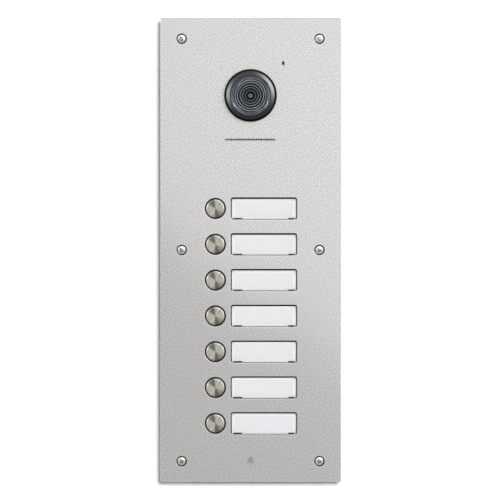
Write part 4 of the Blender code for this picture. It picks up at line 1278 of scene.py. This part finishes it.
def studio():
    bpy.context.scene.view_settings.view_transform = "Standard"
    world()
    plate, bezel, dome = (
        bpy.data.objects[name] for name in ("steel_front_plate", "camera_bezel_ring", "camera_dome")
    )
    screws = [bpy.data.objects[f"security_screw_{i}"] for i in range(1, 7)]
    wall = backdrop()
    y = FACE_Y
    middle = (0, y, 0)
    camera_x, camera_z = centre("camera_bezel")
    eye = (camera_x * MM, y, camera_z * MM)
    area_light("plate_key", (0.369, y - 0.22, 0.257), (0.369, y, 0.257), (0.9, 0.9), 1.0, [plate], -35.0)
    area_light("plate_side", (1.1, y - 1.0, 0.7), middle, (0.26, 0.26), 22.0, [plate])
    area_light("wall_light", (0.15, y - 4.0, 0.176), middle, (0.305, 0.305), 960.0, [wall])
    area_light("screw_light", (0.35, y - 0.8, 0.55), middle, (0.3, 0.3), 14.0, screws)
    area_light("bezel_right", (0.70, y - 0.45, 0.55), eye, (0.4, 0.8), 12.0, [bezel])
    area_light("bezel_left", (-0.8, y - 0.45, 0.22), eye, (0.3, 0.5), 5.0, [bezel])
    area_light("dome_right", (0.9, y - 0.5, 0.52), eye, (0.25, 0.5), 420.0, [dome])
    area_light("dome_left", (-0.9, y - 0.5, 0.50), eye, (0.25, 0.5), 420.0, [dome])
    area_light("left_box", (-1.0, y - 0.45, 0.55), middle, (0.35, 0.9), 1.2)
    area_light("right_box", (1.0, y - 0.45, 0.55), middle, (0.35, 0.9), 1.2)


def camera():
    """A long lens straight in front of the panel."""
    lens, sensor, view_width = 300.0, 36.0, 0.3882
    data = bpy.data.cameras.new("camera")
    data.lens, data.sensor_width = lens, sensor
    obj = bpy.data.objects.new("camera", data)
    obj.location = (-0.0004, FACE_Y - view_width * lens / sensor, 0.0)
    obj.rotation_euler = (math.pi / 2, 0, 0)
    bpy.context.scene.collection.objects.link(obj)
    bpy.context.scene.camera = obj


# --- all of it


def save_sizes():
    import json


looks = {
    "plate": satin_steel(),
    "screw": polished_steel("bright_steel", (0.80, 0.77, 0.71), 0.24),
    "spun": spun_steel(),
    "anodised": anodised(),
    "black": moulded("black_plastic", (0.02, 0.02, 0.02), 0.42),
    "flock": rubber("black_flock", (0.006, 0.006, 0.006), 4000.0),
    "tray": moulded("dark_tray", (0.27, 0.245, 0.215), 0.35),
    # The diffuser and the label glow: painted light standing in for the name lamps behind them.
    "white": paper("white_diffuser", (0.88, 0.885, 0.885), 0.60),
    "clear": clear("clear_cover", (0.985, 0.99, 1.0), 0.03, 1.49),
    "paper": paper("label_paper", (0.86, 0.865, 0.87), 0.55),
    "dome": clear("dome_glass", (0.94, 0.97, 1.0), 0.01, 1.15),
    "lens": glass("lens_glass", (0.55, 0.62, 0.75)),
    "baffle": slate_baffle(),
    "iris": polished_steel("ring_steel", (0.34, 0.35, 0.37), 0.4),
    "gasket": rubber("foam_rubber", (0.03, 0.03, 0.03)),
    "box": moulded("box_plastic", (0.09, 0.095, 0.1), 0.6),
    "pcb": circuit_board(),
    "chip": moulded("chip_resin", (0.014, 0.014, 0.015), 0.38, 3500.0),
    "ivory": moulded("ivory_nylon", (0.62, 0.60, 0.52), 0.45),
    "relay": moulded("relay_case", (0.03, 0.09, 0.24), 0.3),
    "terminal": moulded("terminal_green", (0.03, 0.26, 0.10), 0.4),
    "sleeve": moulded("capacitor_sleeve", (0.02, 0.025, 0.06), 0.3),
    "cable": moulded("cable_jacket", (0.025, 0.025, 0.026), 0.5),
    "lamp": paper("lamp_phosphor", (0.85, 0.78, 0.45), 0.6),
    "spring": wound_steel("spring_wire", (0.55, 0.55, 0.53), 0.28),
    "zinc": wound_steel("zinc_plate", (0.62, 0.62, 0.60), 0.32),
    "ferrite": moulded("ferrite", (0.035, 0.035, 0.038), 0.45, 1800.0),
    "cone": cone_paper(),
    "ribbon": ribbon(),
}
camera()
front_plate(looks["plate"], looks["flock"])
fixing_screws(looks["screw"], looks["black"], looks["gasket"])
button_caps(looks["spun"])
button_carrier(looks["black"])
label_tray(looks["tray"], looks["black"])
diffusers(looks["white"])
name_covers(looks["clear"], looks["paper"], looks["black"])
camera_front(looks)
camera_rear(looks)
button_springs(looks["spring"])
speaker(looks)
microphone(looks)
button_board(looks)
main_board(looks)
terminals(looks)
leads(looks)
wall_box(looks)
plate_studs(looks["zinc"])
studio()
save_sizes()
